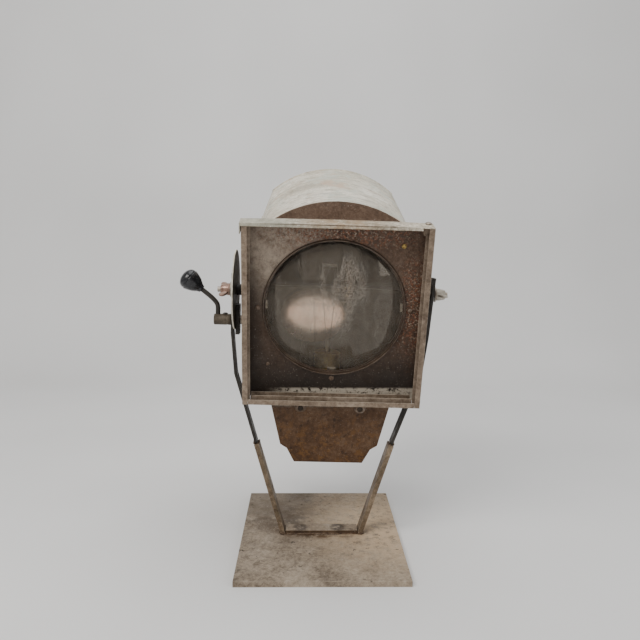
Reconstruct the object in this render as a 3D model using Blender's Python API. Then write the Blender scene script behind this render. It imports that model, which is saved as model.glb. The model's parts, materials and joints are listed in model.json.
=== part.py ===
"""Plano-convex theatre spotlight on a flat-bar yoke welded to a steel floor plate.

World frame: +Z up, the lamp faces -Y, the origin is the middle of the floor plate's underside.
The lamp head is drawn in its own frame: the origin is the tilt pivot, +Y runs back, +Z up.
All lengths below are millimetres; new_object() turns them into metres.
"""
import math

import bmesh
import bpy
from mathutils import Matrix, Vector

MM = 0.001
GAP = 0.3                       # air left between pieces that touch

# floor plate and yoke
PLATE_WIDTH = 232.0
PLATE_DEPTH = 319.0
PLATE_THICK = 8.0
LEG_WIDTH = 25.0                # lower bars, front to back
LEG_THICK = 7.0
FOOT_BAR_THICK = 5.5
ARM_WIDTH = 20.0                # upper bars, front to back
ARM_THICK = 4.0
PIVOT_HEIGHT = 360.0            # above the top of the floor plate
PIVOT_X = 16.0                  # the bent yoke carries the head to the right
HEAD_LEAN = 1.2                 # degrees, the tilt axis drops to the right
HEAD_TILT = 14.5                # degrees, front down
FOOT_X = (-56.0, 58.5)          # where the lower bars stand on the plate: left, right
LAP = ((-95.0, 137.0), (103.0, 135.0))       # top of the lower bars
BEND = ((-124.8, 242.0), (144.0, 242.0))     # where the upper bars turn upright
ARM_KNEE = (144.0, 137.7)       # middle of an upper bar, out from the head's centre line: left, right
ARM_TOP = (144.0, 144.6)        # and at its end: the right bar leans out
KNEE_DROP = 61.0                # below the pivot
ARM_RISE = 24.0                 # end of the bar, above the pivot

# lamp house, in the head's frame
SHEET = 1.5
FRONT_Y = -55.0                 # front face of the front plate
REAR_Y = 201.0                  # rear face of the rear plate
AXIS_Z = -6.0                   # lens axis
ARCH_R = 150.0                  # arched top of the front plate
HOOD_R = 147.5
SHOULDER_X = 98.0               # where the hood's arch turns into its skirt
SKIRT_X = 115.5
SKIRT_Z = 58.0
SIDE_X = 110.5                  # outer face of a side panel
SIDE_TOP = 64.0
SIDE_BEND = -50.0
FLANGE = 9.0                    # turned-in edges of the side panels
FLOOR_Z = -221.0
FLOOR_X = 70.0
NOSE_STEP = ((72.0, -221.0), (62.0, -228.0), (51.0, -251.0))

# lens and its mount
LENS_R = 96.9
LENS_FACE_R = 94.7
LENS_SAG = 24.5
LENS_EDGE_Y = (-48.5, -42.0)    # front and back of the glass edge
BEZEL_R = 99.0
SCREW_R = 105.0                 # pitch circle of the lens screws

# filter frame
FRAME_X = 125.0
FRAME_TOP = 117.5
FRAME_BOTTOM = -142.0
FRAME_FRONT = -83.0
FRAME_WALL = 1.5
FRONT_LIP = 7.5
MIDDLE_LIP = 10.5
MIDDLE_LIP_Y = -74.5
FLAP_PIVOT = (118.0, -65.0)     # x, y of the lid's screw
FLAP_SHEET = 1.2
FLAP_BOW = 1.6
FLAP_LIP = 2.6                  # the lid's front edge, below the top of the runners
FLAP_EAR = 13.0                 # the catch at its left end

# tilt disc, clamp and pivot hardware
DISC_R = 57.5
DISC_X = (139.5, 141.5)         # inner and outer face of the left disc, out from the centre line
SPACER_END = (139.2, 139.5)     # outer end of each spacer: left, right
BOLT_R = 4.0
HOLE_R = 4.4
CLAMP_R = 43.6                  # the clamp stud, below the pivot
SLOT_UP = 54.0                  # degrees the slot allows the head to turn front up from here
SLOT_DOWN = 6.0                 # and front down
SLOT_HALF = 4.9
WASHER_X = (146.3, 148.0)
WING_X = 148.3                  # foot of a wing nut
WING_TURN = (100.0, 80.0)       # degrees each wing nut has been turned: left, right
BOLT_END = (166.5, 165.0)
JAW_THICK = 5.5
JAW_Z = (-64.0, -21.0)
STUD_END = 160.5
BOSS_R = 8.0
BOSS_X = (146.3, 171.0)
ROD_R = 3.4
ROD_POINTS = ((165.6, -42.0), (165.6, -25.7), (168.9, -18.3), (178.2, -9.0), (188.7, -1.1), (197.5, 5.5))
KNOB_LENGTH = 35.0
KNOB_BORE = 12.0                # depth of the hole that takes the rod

# lamp carriage
ROD_X = 43.0
ROD_Z = -158.0
GUIDE_R = 4.0
BULB_Y = 75.0
SOCKET_TOP = 40.0               # above the middle of the carriage block
CAP_TOP = 62.0
GLOBE_R = 34.0
CARRIAGE_HALF = 54.0
CARRIAGE_SPAN = (-22.0, 40.0)   # front and back of the block, from the bulb's centre
BLOCK_HALF = 9.0                # half the block's height
MIRROR_AT = (-12.0, 118.0, -76.0)            # middle of the dish, in the head's frame
MIRROR_HALF = (29.3, 22.0)      # an oval dish: half its width and half its height
MIRROR_CURVE = 95.0
MIRROR_TILT = 20.0              # degrees, its face turned up
MIRROR_THICK = 1.5

# rear door
DOOR_HALF = 88.0
DOOR_Z = (-96.0, 100.0)
DOOR_LAP = 8.0
HINGE_Y = 205.0
HINGE_X = -93.0
HINGE_HALF = 40.0
HINGE_SHEET = 1.4
KNUCKLE_R = 3.6
PIN_R = 1.5
THUMBSCREW = (84.0, 2.0)        # x, z
GLAND_X = 36.0
GLAND_DROP = 34.0               # below the guide rods

COLOURS = {                     # base colour, metallic, roughness
    "plate_steel": ((0.20, 0.17, 0.14), 0.6, 0.75),
    "khaki_bar": ((0.27, 0.21, 0.14), 0.3, 0.8),
    "black_bar": ((0.03, 0.025, 0.02), 0.3, 0.6),
    "rusty_brown": ((0.10, 0.06, 0.04), 0.3, 0.7),
    "warm_grey": ((0.22, 0.17, 0.13), 0.3, 0.6),
    "cream_paint": ((0.50, 0.46, 0.36), 0.0, 0.6),
    "olive_disc": ((0.06, 0.055, 0.04), 0.3, 0.6),
    "pale_steel": ((0.35, 0.30, 0.26), 0.8, 0.5),
    "bakelite": ((0.01, 0.01, 0.012), 0.0, 0.2),
    "glass": ((0.80, 0.85, 0.85), 0.0, 0.05),
    "mirror": ((0.85, 0.78, 0.75), 1.0, 0.12),
    "brass": ((0.55, 0.40, 0.15), 1.0, 0.4),
    "ceramic": ((0.75, 0.72, 0.65), 0.0, 0.35),
}


# ---------------------------------------------------------------- helpers

def clear_scene():
    for old in list(bpy.data.objects):
        bpy.data.objects.remove(old, do_unlink=True)


def material(name):
    found = bpy.data.materials.get(name)
    if found:
        return found
    colour, metallic, roughness = COLOURS[name]
    made = bpy.data.materials.new(name)
    made.use_nodes = True
    shader = made.node_tree.nodes["Principled BSDF"]
    shader.inputs["Base Color"].default_value = (*colour, 1.0)
    shader.inputs["Metallic"].default_value = metallic
    shader.inputs["Roughness"].default_value = roughness
    return made


def empty(name, location=(0, 0, 0), rotation=(0, 0, 0), parent=None):
    """An axis system; location in millimetres, rotation in degrees."""
    made = bpy.data.objects.new(name, None)
    made.empty_display_size = 0.05
    made.location = Vector(location) * MM
    made.rotation_euler = [math.radians(a) for a in rotation]
    made.parent = parent
    bpy.context.collection.objects.link(made)
    return made


def new_object(name, bm, finish, parent=None, origin=(0, 0, 0)):
    """Turn a bmesh in millimetres, drawn in the parent's frame, into an object at origin."""
    bmesh.ops.translate(bm, verts=bm.verts, vec=-Vector(origin))
    bmesh.ops.scale(bm, verts=bm.verts, vec=(MM, MM, MM))
    bmesh.ops.recalc_face_normals(bm, faces=bm.faces)
    mesh = bpy.data.meshes.new(name)
    bm.to_mesh(mesh)
    bm.free()
    mesh.materials.append(material(finish))
    mesh.shade_smooth()
    mesh.set_sharp_from_angle(angle=math.radians(35))
    made = bpy.data.objects.new(name, mesh)
    made.parent = parent
    made.location = Vector(origin) * MM
    bpy.context.collection.objects.link(made)
    return made


def on_plane(plane, a, b, along):
    """Put outline point (a, b) at a distance along the normal of plane yz, xz or xy."""
    if plane == "yz":
        return (along, a, b)
    if plane == "xz":
        return (a, along, b)
    return (a, b, along)


def slab(outline, plane, start, end, holes=()):
    """A flat piece with holes: the outline filled and extruded from start to end."""
    bm = bmesh.new()
    for loop in (outline, *holes):
        ring = [bm.verts.new(on_plane(plane, a, b, start)) for a, b in loop]
        for i, vert in enumerate(ring):
            bm.edges.new((vert, ring[(i + 1) % len(ring)]))
    bmesh.ops.triangle_fill(bm, edges=bm.edges[:], use_beauty=True, use_dissolve=False)
    grown = bmesh.ops.extrude_face_region(bm, geom=bm.faces[:])
    moved = [g for g in grown["geom"] if isinstance(g, bmesh.types.BMVert)]
    bmesh.ops.translate(bm, verts=moved, vec=on_plane(plane, 0, 0, end - start))
    return bm


def block(low, high):
    bm = bmesh.new()
    bmesh.ops.create_cube(bm, size=1.0)
    size = Vector(high) - Vector(low)
    middle = (Vector(high) + Vector(low)) / 2
    bmesh.ops.scale(bm, verts=bm.verts, vec=size)
    bmesh.ops.translate(bm, verts=bm.verts, vec=middle)
    return bm


def turned(profile, axis, centre=(0, 0, 0), sides=24):
    """Revolve (radius, distance) points; a profile off the axis makes a closed ring."""
    bm = bmesh.new()
    solid = profile[0][0] == 0 and profile[-1][0] == 0
    rings = []
    for radius, along in profile:
        count = 1 if radius == 0 else sides
        ring = []
        for i in range(count):
            angle = 2 * math.pi * i / sides
            ring.append(bm.verts.new((radius * math.cos(angle), radius * math.sin(angle), along)))
        rings.append(ring)
    pairs = list(zip(rings, rings[1:]))
    if not solid:
        pairs.append((rings[-1], rings[0]))
    for low, high in pairs:
        for i in range(sides):
            j = (i + 1) % sides
            corners = [low[i % len(low)], low[j % len(low)], high[j % len(high)], high[i % len(high)]]
            bm.faces.new(list(dict.fromkeys(corners)))
    turn = {"x": Matrix.Rotation(math.pi / 2, 4, "Y"), "y": Matrix.Rotation(-math.pi / 2, 4, "X"),
            "z": Matrix.Identity(4)}[axis]
    bm.transform(Matrix.Translation(centre) @ turn)
    return bm


def swept(points, radius, sides=12):
    """A round rod along points, with flat ends."""
    bm = bmesh.new()
    path = [Vector(p) for p in points]
    rings = []
    for i, here in enumerate(path):
        before = path[max(i - 1, 0)]
        after = path[min(i + 1, len(path) - 1)]
        along = (after - before).normalized()
        side = along.cross(Vector((0, 1, 0))).normalized()
        up = along.cross(side)
        ring = []
        for k in range(sides):
            angle = 2 * math.pi * k / sides
            ring.append(bm.verts.new(here + radius * (math.cos(angle) * side + math.sin(angle) * up)))
        rings.append(ring)
    for low, high in zip(rings, rings[1:]):
        for k in range(sides):
            j = (k + 1) % sides
            bm.faces.new((low[k], low[j], high[j], high[k]))
    bm.faces.new(rings[0])
    bm.faces.new(rings[-1])
    return bm


def circle(a, b, radius, sides=16):
    step = 2 * math.pi / sides
    return [(a + radius * math.cos(i * step), b + radius * math.sin(i * step)) for i in range(sides)]


def arc(a, b, radius, start, end, steps):
    """Points from start to end degrees, measured from +a towards +b."""
    span = [math.radians(start + (end - start) * i / steps) for i in range(steps + 1)]
    return [(a + radius * math.cos(t), b + radius * math.sin(t)) for t in span]


def strip(points, thick):
    """The outline of a bent sheet: points run along one face, the other is thick to the right."""
    normals = []
    for (ax, ay), (bx, by) in zip(points, points[1:]):
        length = math.hypot(bx - ax, by - ay)
        normals.append(Vector(((by - ay) / length, (ax - bx) / length)))
    other = []
    for i, point in enumerate(points):
        before = normals[max(i - 1, 0)]
        after = normals[min(i, len(normals) - 1)]
        miter = (before + after) / (1 + before.dot(after))
        other.append((point[0] + thick * miter.x, point[1] + thick * miter.y))
    return list(points) + other[::-1]


def operand(bm, parent, name):
    """A hidden shape for a Boolean."""
    made = new_object(name, bm, "plate_steel", parent)
    made.hide_render = True
    made.display_type = "WIRE"
    return made


def combine(target, shape, operation="DIFFERENCE"):
    cut = target.modifiers.new(operation.lower(), "BOOLEAN")
    cut.operation = operation
    cut.solver = "EXACT"
    cut.object = shape


def drill(target, parent, start, length, axis, radius=HOLE_R):
    """A round hole through target, from start along axis."""
    tool = turned([(0, 0), (radius, 0), (radius, length), (0, length)], axis, start, 12)
    combine(target, operand(tool, parent, target.name + "_drill"))


def rod(name, radius, start, length, axis, finish, parent, sides=12):
    bm = turned([(0, 0), (radius, 0), (radius, length), (0, length)], axis, start, sides)
    return new_object(name, bm, finish, parent, start)


# ---------------------------------------------------------------- stand and yoke

def leaned(x, drop):
    """World x and height above the plate of a point in the head's leaning frame."""
    angle = math.radians(HEAD_LEAN)
    return (PIVOT_X + x * math.cos(angle) + drop * math.sin(angle),
            PIVOT_HEIGHT - x * math.sin(angle) + drop * math.cos(angle))


def bar_outline(middle, thick):
    """A flat bar seen from the front, centred on the points."""
    left = strip(middle, thick / 2)[len(middle):][::-1]
    right = strip(middle, -thick / 2)[len(middle):][::-1]
    return left + right[::-1]


def build_stand(stand):
    half_w, half_d = PLATE_WIDTH / 2, PLATE_DEPTH / 2
    new_object("base_plate", block((-half_w, -half_d, -PLATE_THICK), (half_w, half_d, 0)),
               "plate_steel", stand)
    inner = [x - math.copysign(LEG_THICK / 2 + 2 * GAP, x) for x in FOOT_X]
    bar = block((inner[0], -LEG_WIDTH / 2, GAP), (inner[1], LEG_WIDTH / 2, GAP + FOOT_BAR_THICK))
    new_object("foot_bar", bar, "khaki_bar", stand)
    for side, name in enumerate(("left", "right")):
        foot = (FOOT_X[side], GAP)
        outline = bar_outline([foot, LAP[side]], LEG_THICK)
        cut_flush = [(x, max(z, GAP)) for x, z in outline]
        leg = slab(cut_flush, "xz", -LEG_WIDTH / 2, LEG_WIDTH / 2)
        new_object("lower_leg_" + name, leg, "khaki_bar", stand)


def build_arm(stand, swivel, side, name):
    """An upper bar: welded on the lower leg, bent upright, drilled for the pivot bolt."""
    sign = -1 if side == 0 else 1
    lap, bend = Vector(LAP[side]), Vector(BEND[side])
    start = lap + (bend - lap).normalized() * 6 * GAP
    middle = [tuple(start), tuple(bend), leaned(sign * ARM_KNEE[side], -KNEE_DROP),
              leaned(sign * ARM_TOP[side], ARM_RISE)]
    bar = slab(bar_outline(middle, ARM_THICK), "xz", -ARM_WIDTH / 2, ARM_WIDTH / 2)
    arm = new_object("yoke_arm_" + name, bar, "black_bar", stand)
    reach = 20.0
    drill(arm, swivel, (sign * ARM_TOP[side] - reach / 2, 0, 0), reach, "x")
    if side == 0:
        drill(arm, swivel, (-ARM_TOP[side] - reach / 2, 0, -CLAMP_R), reach, "x")


# ---------------------------------------------------------------- lamp house

def house_outline(radius, inset=0.0):
    """Arch, shoulder, skirt, upright side and taper of the lamp house, right side then left."""
    shoulder = math.degrees(math.acos(SHOULDER_X / radius))
    half = arc(0, AXIS_Z, radius - inset, 90, shoulder, 9)
    half += [(SKIRT_X - inset, SKIRT_Z), (SIDE_X - inset, SKIRT_Z - 8), (SIDE_X - inset, SIDE_BEND),
             (FLOOR_X - inset, FLOOR_Z)]
    return half + [(-x, z) for x, z in half[:0:-1]]


def build_front_plate(head):
    """Arched top, square middle behind the filter frame, tapered and stepped nose below."""
    square_x, square_top, square_low = FRAME_X - 0.5, FRAME_TOP - 0.5, FRAME_BOTTOM + 0.5
    arch_end = math.degrees(math.asin((square_top - AXIS_Z) / ARCH_R))
    taper = (SIDE_X - FLOOR_X) / (SIDE_BEND - FLOOR_Z)
    half = arc(0, AXIS_Z, ARCH_R, 90, arch_end, 7)
    half += [(square_x, square_top), (square_x, square_low)]
    half += [(FLOOR_X + taper * (square_low - FLOOR_Z), square_low)]
    half += NOSE_STEP
    outline = half + [(-x, z) for x, z in half[:0:-1]]
    holes = [circle(0, AXIS_Z, BEZEL_R + GAP, 64)]
    holes += [circle(x, z, 2.4, 8) for x, z in lens_screw_places().values()]
    holes += [circle(x, ROD_Z, HOLE_R, 12) for x in (-ROD_X, ROD_X)]
    new_object("front_plate", slab(outline, "xz", FRONT_Y, FRONT_Y + SHEET, holes), "rusty_brown", head)


def build_hood(head):
    shoulder = math.degrees(math.acos(SHOULDER_X / HOOD_R))
    top = arc(0, AXIS_Z, HOOD_R, shoulder, 180 - shoulder, 20)
    points = [(SKIRT_X, SKIRT_Z)] + top + [(-SKIRT_X, SKIRT_Z)]
    outline = strip(points, -1.2)
    new_object("hood", slab(outline, "xz", FRONT_Y + SHEET + GAP, REAR_Y - SHEET - GAP), "cream_paint", head)


def build_side_panel(head, sign, name):
    """A folded sheet: flanges turn in at the front, rear and bottom."""
    front, rear = FRONT_Y + SHEET + GAP, REAR_Y - SHEET - GAP
    bm = bmesh.new()
    rings = []
    stations = ((SIDE_X, SIDE_TOP), (SIDE_X, SIDE_BEND), (FLOOR_X, FLOOR_Z + GAP))
    for outer, z in stations:
        inner = outer - SHEET
        lip = outer - FLANGE
        plan = [(lip, front), (outer, front), (outer, rear), (lip, rear), (lip, rear - SHEET),
                (inner, rear - SHEET), (inner, front + SHEET), (lip, front + SHEET)]
        rings.append([bm.verts.new((sign * x, y, z)) for x, y in plan])
    for low, high in zip(rings, rings[1:]):
        for i in range(8):
            j = (i + 1) % 8
            bm.faces.new((low[i], low[j], high[j], high[i]))
    bm.faces.new(rings[0])
    bm.faces.new(rings[-1])
    panel = new_object("side_panel_" + name, bm, "rusty_brown", head)
    drill(panel, head, (sign * SIDE_X - 10, 0, 0), 20, "x")
    drill(panel, head, (sign * SCREW_R, front - 4, AXIS_Z), 8, "y", 2.4)


def build_floor(head):
    """The floor sheet, with air slots under the bulb."""
    half = FLOOR_X - SHEET - 1.0
    rear = REAR_Y - SHEET - GAP
    slots = []
    for i in range(5):
        y = 15 + 30 * i
        slots.append([(-40, y), (40, y), (40, y + 7), (-40, y + 7)])
    edge = FRONT_Y + 2 * SHEET + 2 * GAP
    outline = [(-half, edge), (half, edge), (half, rear - SHEET - GAP), (-half, rear - SHEET - GAP)]
    floor = slab(outline, "xy", FLOOR_Z + 2 * GAP, FLOOR_Z + 2 * GAP + 1.2, slots)
    new_object("floor_sheet", floor, "rusty_brown", head)


def build_rear_plate(head):
    """The back wall round the door, drilled for the focus spindle."""
    inner_x = DOOR_HALF - DOOR_LAP
    low, high = DOOR_Z[0] + DOOR_LAP, DOOR_Z[1] - DOOR_LAP
    opening = [(-inner_x, low), (inner_x, low), (inner_x, high), (-inner_x, high)]
    holes = [opening, circle(0, ROD_Z, HOLE_R, 12), circle(*THUMBSCREW, 3.2, 8)]
    plate = slab(house_outline(HOOD_R), "xz", REAR_Y - SHEET, REAR_Y, holes)
    new_object("rear_plate", plate, "rusty_brown", head)


# ---------------------------------------------------------------- lens

def lens_screw_places():
    return {"left": (-SCREW_R, AXIS_Z), "right": (SCREW_R, AXIS_Z), "bottom": (0, AXIS_Z - SCREW_R)}


def build_lens(head):
    """Plano-convex glass, round side forward."""
    curve = (LENS_FACE_R ** 2 + LENS_SAG ** 2) / (2 * LENS_SAG)
    front, back = LENS_EDGE_Y
    steps = 10
    profile = []
    for i in range(steps + 1):
        radius = LENS_FACE_R * i / steps
        bulge = math.sqrt(curve ** 2 - radius ** 2) - (curve - LENS_SAG)
        profile.append((radius, front - bulge))
    profile += [(LENS_R, front), (LENS_R, back), (0, back)]
    new_object("lens", turned(profile, "y", (0, 0, AXIS_Z), 48), "glass", head)
    bore = LENS_R + 0.5
    ring = [(bore, -58), (BEZEL_R, -58), (BEZEL_R, -40), (bore, -40), (bore, front - GAP),
            (LENS_FACE_R + 0.3, front - GAP), (LENS_FACE_R + 0.3, front - 1.5), (bore, front - 1.5)]
    new_object("lens_bezel", turned(ring, "y", (0, 0, AXIS_Z), 48), "rusty_brown", head)


def build_lens_fixings(head):
    """Three slotted screws through the front plate, each with a bent clip behind the glass."""
    back = FRONT_Y + 2 * SHEET + 2 * GAP
    turns = {"left": 180, "right": 0, "bottom": -90}
    for name, (x, z) in lens_screw_places().items():
        screw = [(0, 0), (3.0, 0), (4.0, 1.2), (4.0, 2.0), (2.0, 2.0), (2.0, 10.0), (0, 10.0)]
        head_front = FRONT_Y - 2.0 - GAP
        new_object("lens_screw_" + name, turned(screw, "y", (x, head_front, z), 10), "pale_steel", head,
                   (x, head_front, z))
        rest = LENS_EDGE_Y[1] + 2.5
        clip = strip([(108.5, back), (101.5, back), (101.5, rest), (90, rest)], 1.2)
        bm = slab(clip, "xy", -6, 6)
        bm.transform(Matrix.Translation((0, 0, AXIS_Z)) @ Matrix.Rotation(-math.radians(turns[name]), 4, "Y"))
        made = new_object("lens_clip_" + name, bm, "pale_steel", head)
        drill(made, head, (x, back - 3, z), 8, "y", 2.4)


# ---------------------------------------------------------------- filter frame

def channel_section(outer, sign):
    """Depth against width of a runner: wall, front lip, middle lip and back flange."""
    wall, front, back = FRAME_WALL, FRAME_FRONT, FRONT_Y - GAP
    steps = [(0, front), (FRONT_LIP, front), (FRONT_LIP, front + wall), (wall, front + wall),
             (wall, MIDDLE_LIP_Y), (MIDDLE_LIP, MIDDLE_LIP_Y), (MIDDLE_LIP, MIDDLE_LIP_Y + wall),
             (wall, MIDDLE_LIP_Y + wall), (wall, back - wall), (FRONT_LIP, back - wall), (FRONT_LIP, back),
             (0, back)]
    return [(outer - sign * inward, y) for inward, y in steps]


def build_filter_frame(head):
    """Two upright runners and a bottom runner; the top is closed by the flap."""
    for sign, name in ((-1, "left"), (1, "right")):
        section = channel_section(sign * FRAME_X, sign)
        runner = slab(section, "xy", FRAME_BOTTOM, FRAME_TOP)
        new_object("filter_runner_" + name, runner, "warm_grey", head)
    half = FRAME_X - MIDDLE_LIP - GAP
    section = [(y, z) for z, y in channel_section(FRAME_BOTTOM, -1)]
    bottom = new_object("filter_runner_bottom", slab(section, "yz", -half, half), "warm_grey", head)
    wide = FRAME_X - FRONT_LIP - GAP
    lip = slab([section[0], section[1], section[2], (section[2][0], section[0][1])], "yz", -wide, wide)
    combine(bottom, operand(lip, head, "bottom_lip"), "UNION")


def flap_underside(x):
    """Height of the bowed lid above the runners."""
    return GAP + FLAP_BOW * (1 - (x / (FRAME_X + 1.2 + FLAP_SHEET)) ** 2)


def build_flap(head):
    """The bowed cream lid over the filter slots: it swings forward round one screw at its right end."""
    x_pivot, y_pivot = FLAP_PIVOT
    pivot = empty("flap_axis", (x_pivot, y_pivot, FRAME_TOP), parent=head)
    ear_x = -FRAME_X - 1.2
    left, right = ear_x - FLAP_SHEET, FRAME_X - 0.5
    rear, front = FRONT_Y - 3.5, FRAME_FRONT - GAP
    steps = 8
    bm = bmesh.new()
    rings = []
    for i in range(steps + 1):
        x = left + (right - left) * i / steps
        low = flap_underside(x)
        section = [(rear, low), (front - FLAP_SHEET, low), (front - FLAP_SHEET, low + FLAP_SHEET),
                   (rear, low + FLAP_SHEET)]
        rings.append([bm.verts.new((x - x_pivot, y - y_pivot, z)) for y, z in section])
    for low_ring, high_ring in zip(rings, rings[1:]):
        for i in range(4):
            j = (i + 1) % 4
            bm.faces.new((low_ring[i], low_ring[j], high_ring[j], high_ring[i]))
    bm.faces.new(rings[0])
    bm.faces.new(rings[-1])
    flap = new_object("filter_flap", bm, "cream_paint", pivot)
    lip = block((left - x_pivot, front - FLAP_SHEET - y_pivot, -FLAP_LIP),
                (-9, front - y_pivot, GAP + FLAP_SHEET / 2))
    combine(flap, operand(lip, pivot, "flap_lip"), "UNION")
    ear = block((left - x_pivot, front - FLAP_SHEET - y_pivot, -FLAP_EAR),
                (ear_x - x_pivot, -66 - y_pivot, GAP + FLAP_SHEET / 2))
    combine(flap, operand(ear, pivot, "flap_ear"), "UNION")
    drill(flap, pivot, (0, 0, -4), 12, "z", 1.9)
    build_flap_screw(head)


def build_flap_screw(head):
    """Lug in the right runner and the screw that the lid swings on."""
    x, y = FLAP_PIVOT
    lug = block((x - 5.5, MIDDLE_LIP_Y + FRAME_WALL + GAP, FRAME_TOP - 12),
                (FRAME_X - FRAME_WALL - GAP, FRONT_Y - FRAME_WALL - 2 * GAP, FRAME_TOP - 0.2))
    made = new_object("flap_lug", lug, "warm_grey", head)
    drill(made, head, (x, y, FRAME_TOP - 11), 14, "z", 1.9)
    seat = flap_underside(x) + FLAP_SHEET + 2 * GAP
    screw = [(0, -9), (1.6, -9), (1.6, seat), (4.2, seat), (4.2, seat + 1.2), (2.6, seat + 2.2),
             (0, seat + 2.2)]
    new_object("flap_screw", turned(screw, "z", (x, y, FRAME_TOP), 12), "pale_steel", head)


# ---------------------------------------------------------------- tilt pivot and clamp

def outward(profile, sign):
    """The profile with its distances turned to the left (sign -1) or the right (1)."""
    return [(radius, sign * along) for radius, along in profile]


def ring_profile(bore, outer, start, end):
    return [(bore, start), (outer, start), (outer, end), (bore, end)]


def build_wing_nut(head, sign, name, turn):
    """Hub and two swept wings, bored for the bolt; its origin is on the bolt's axis."""
    hub = outward([(HOLE_R, 0), (9.0, 0), (8.4, 6), (6.6, 14), (HOLE_R, 14)], sign)
    nut = new_object(name, turned(hub, "x", sides=16), "pale_steel", head)
    nut.location = Vector((sign * WING_X, 0, 0)) * MM
    nut.rotation_euler.x = math.radians(turn)
    wing = ((2, 5.6), (2.4, 9.5), (5, 16), (8, 19.5), (13, 19.5), (15.5, 17), (14.5, 13), (10, 9), (9, 5.6))
    for flip in (-1, 1):
        outline = [(sign * out, flip * up) for out, up in wing]
        blade = slab(outline, "xz", -1.9, 1.9)
        combine(nut, operand(blade, nut, name + "_blade"), "UNION")


def build_pivots(head, swivel):
    """On each side: bolt, spacer, washer on the arm and wing nut."""
    inside = SIDE_X - SHEET - GAP
    washer = ring_profile(HOLE_R, 11, *WASHER_X)
    for side, sign, name in ((0, -1, "left"), (1, 1, "right")):
        end = BOLT_END[side]
        bolt = [(0, inside - 5), (7.5, inside - 5), (7.5, inside), (BOLT_R, inside), (BOLT_R, end), (0, end)]
        new_object("pivot_bolt_" + name, turned(outward(bolt, sign), "x", sides=12), "pale_steel", head)
        spacer = ring_profile(HOLE_R, 8, SIDE_X + GAP, SPACER_END[side])
        new_object("disc_spacer_" + name, turned(outward(spacer, sign), "x", sides=16), "black_bar", head)
        new_object("pivot_washer_" + name, turned(outward(washer, sign), "x", sides=16), "pale_steel",
                   swivel)
        build_wing_nut(head, sign, "wing_nut_" + name, WING_TURN[side])


def slot_end(angle, sweep_from):
    """The round end of the slot at an angle on the disc."""
    at = math.radians(angle)
    middle = (CLAMP_R * math.cos(at), CLAMP_R * math.sin(at))
    return arc(*middle, SLOT_HALF, sweep_from, sweep_from + 180, 6)[1:-1]


def tilt_slot():
    """The curved slot, in the head's own frame: the stud moves along it as the head tilts."""
    here = -90 - HEAD_TILT
    start, end = here - SLOT_DOWN, here + SLOT_UP
    outer = arc(0, 0, CLAMP_R + SLOT_HALF, start, end, 10)
    inner = arc(0, 0, CLAMP_R - SLOT_HALF, end, start, 10)
    return outer + slot_end(end, end) + inner + slot_end(start, start + 180)


def build_disc(head):
    """The slotted tilt disc inside the left arm."""
    holes = [circle(0, 0, HOLE_R, 12), tilt_slot()]
    disc = slab(circle(0, 0, DISC_R, 48), "yz", -DISC_X[0], -DISC_X[1], holes)
    new_object("tilt_disc", disc, "olive_disc", head)


def build_clamp(swivel):
    """Jaw, stud and bent-rod lever on the left arm; the lever turns on the stud."""
    jaw_in, jaw_out = -DISC_X[0] + GAP + JAW_THICK, -DISC_X[0] + GAP
    outline = [(-11, JAW_Z[0]), (11, JAW_Z[0]), (11, JAW_Z[1]), (-11, JAW_Z[1])]
    jaw = slab(outline, "yz", jaw_out, jaw_in, [circle(0, -CLAMP_R, HOLE_R, 12)])
    new_object("clamp_jaw", jaw, "black_bar", swivel)
    under = jaw_in + GAP
    stud = [(0, under + 4), (6.5, under + 4), (6.5, under), (BOLT_R, under), (BOLT_R, -STUD_END),
            (0, -STUD_END)]
    new_object("clamp_stud", turned(stud, "x", (0, 0, -CLAMP_R), 12), "pale_steel", swivel)
    lever = empty("lever_axis", (0, 0, -CLAMP_R), parent=swivel)
    start, end, bore_end = BOSS_X[0], BOSS_X[1], STUD_END + 2
    boss = outward([(HOLE_R, start), (BOSS_R, start), (BOSS_R, end - 1), (BOSS_R - 1, end), (0, end),
                    (0, bore_end), (HOLE_R, bore_end)], -1)
    made = new_object("lever_boss", bored(boss), "khaki_bar", lever)
    path = [(-x, 0, z + CLAMP_R) for x, z in ROD_POINTS]
    drill(made, lever, (path[0][0], 0, path[0][2] - 2 * GAP), 12, "z", ROD_R + GAP)
    new_object("lever_rod", swept(path, ROD_R), "black_bar", lever)
    build_knob(lever, Vector(path[-2]), Vector(path[-1]))


def bored(profile):
    """A turned piece along x with a blind bore: the profile starts and ends at the bore's mouth."""
    bm = bmesh.new()
    sides = 20
    rings = []
    for radius, along in profile:
        count = 1 if radius == 0 else sides
        ring = []
        for i in range(count):
            angle = 2 * math.pi * i / sides
            ring.append(bm.verts.new((along, radius * math.cos(angle), radius * math.sin(angle))))
        rings.append(ring)
    for low, high in zip(rings, rings[1:] + rings[:1]):
        if len(low) == len(high) == 1:
            continue
        for i in range(sides):
            j = (i + 1) % sides
            corners = [low[i % len(low)], low[j % len(low)], high[j % len(high)], high[i % len(high)]]
            bm.faces.new(list(dict.fromkeys(corners)))
    return bm


def build_knob(lever, root, tip):
    """Bakelite bell knob, its blind bore over the end of the rod."""
    along = (tip - root).normalized()
    base = tip - along * (KNOB_BORE - 1)
    bore = ROD_R + GAP
    bell = [(bore, 0), (5.2, 0), (6.4, 3.5), (8.8, 6.8), (11.2, 10.5), (13.4, 15.5), (14.9, 20),
            (15.4, 22.6), (14.6, 23.6), (15.0, 24.6), (14.0, 28), (11.4, 31.4), (7.2, 33.8),
            (0, KNOB_LENGTH)]
    bm = bored(bell + [(0, KNOB_BORE), (bore, KNOB_BORE)])
    turn = Vector((1, 0, 0)).rotation_difference(along).to_matrix().to_4x4()
    bm.transform(Matrix.Translation(base) @ turn)
    new_object("lever_knob", bm, "bakelite", lever)


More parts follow.
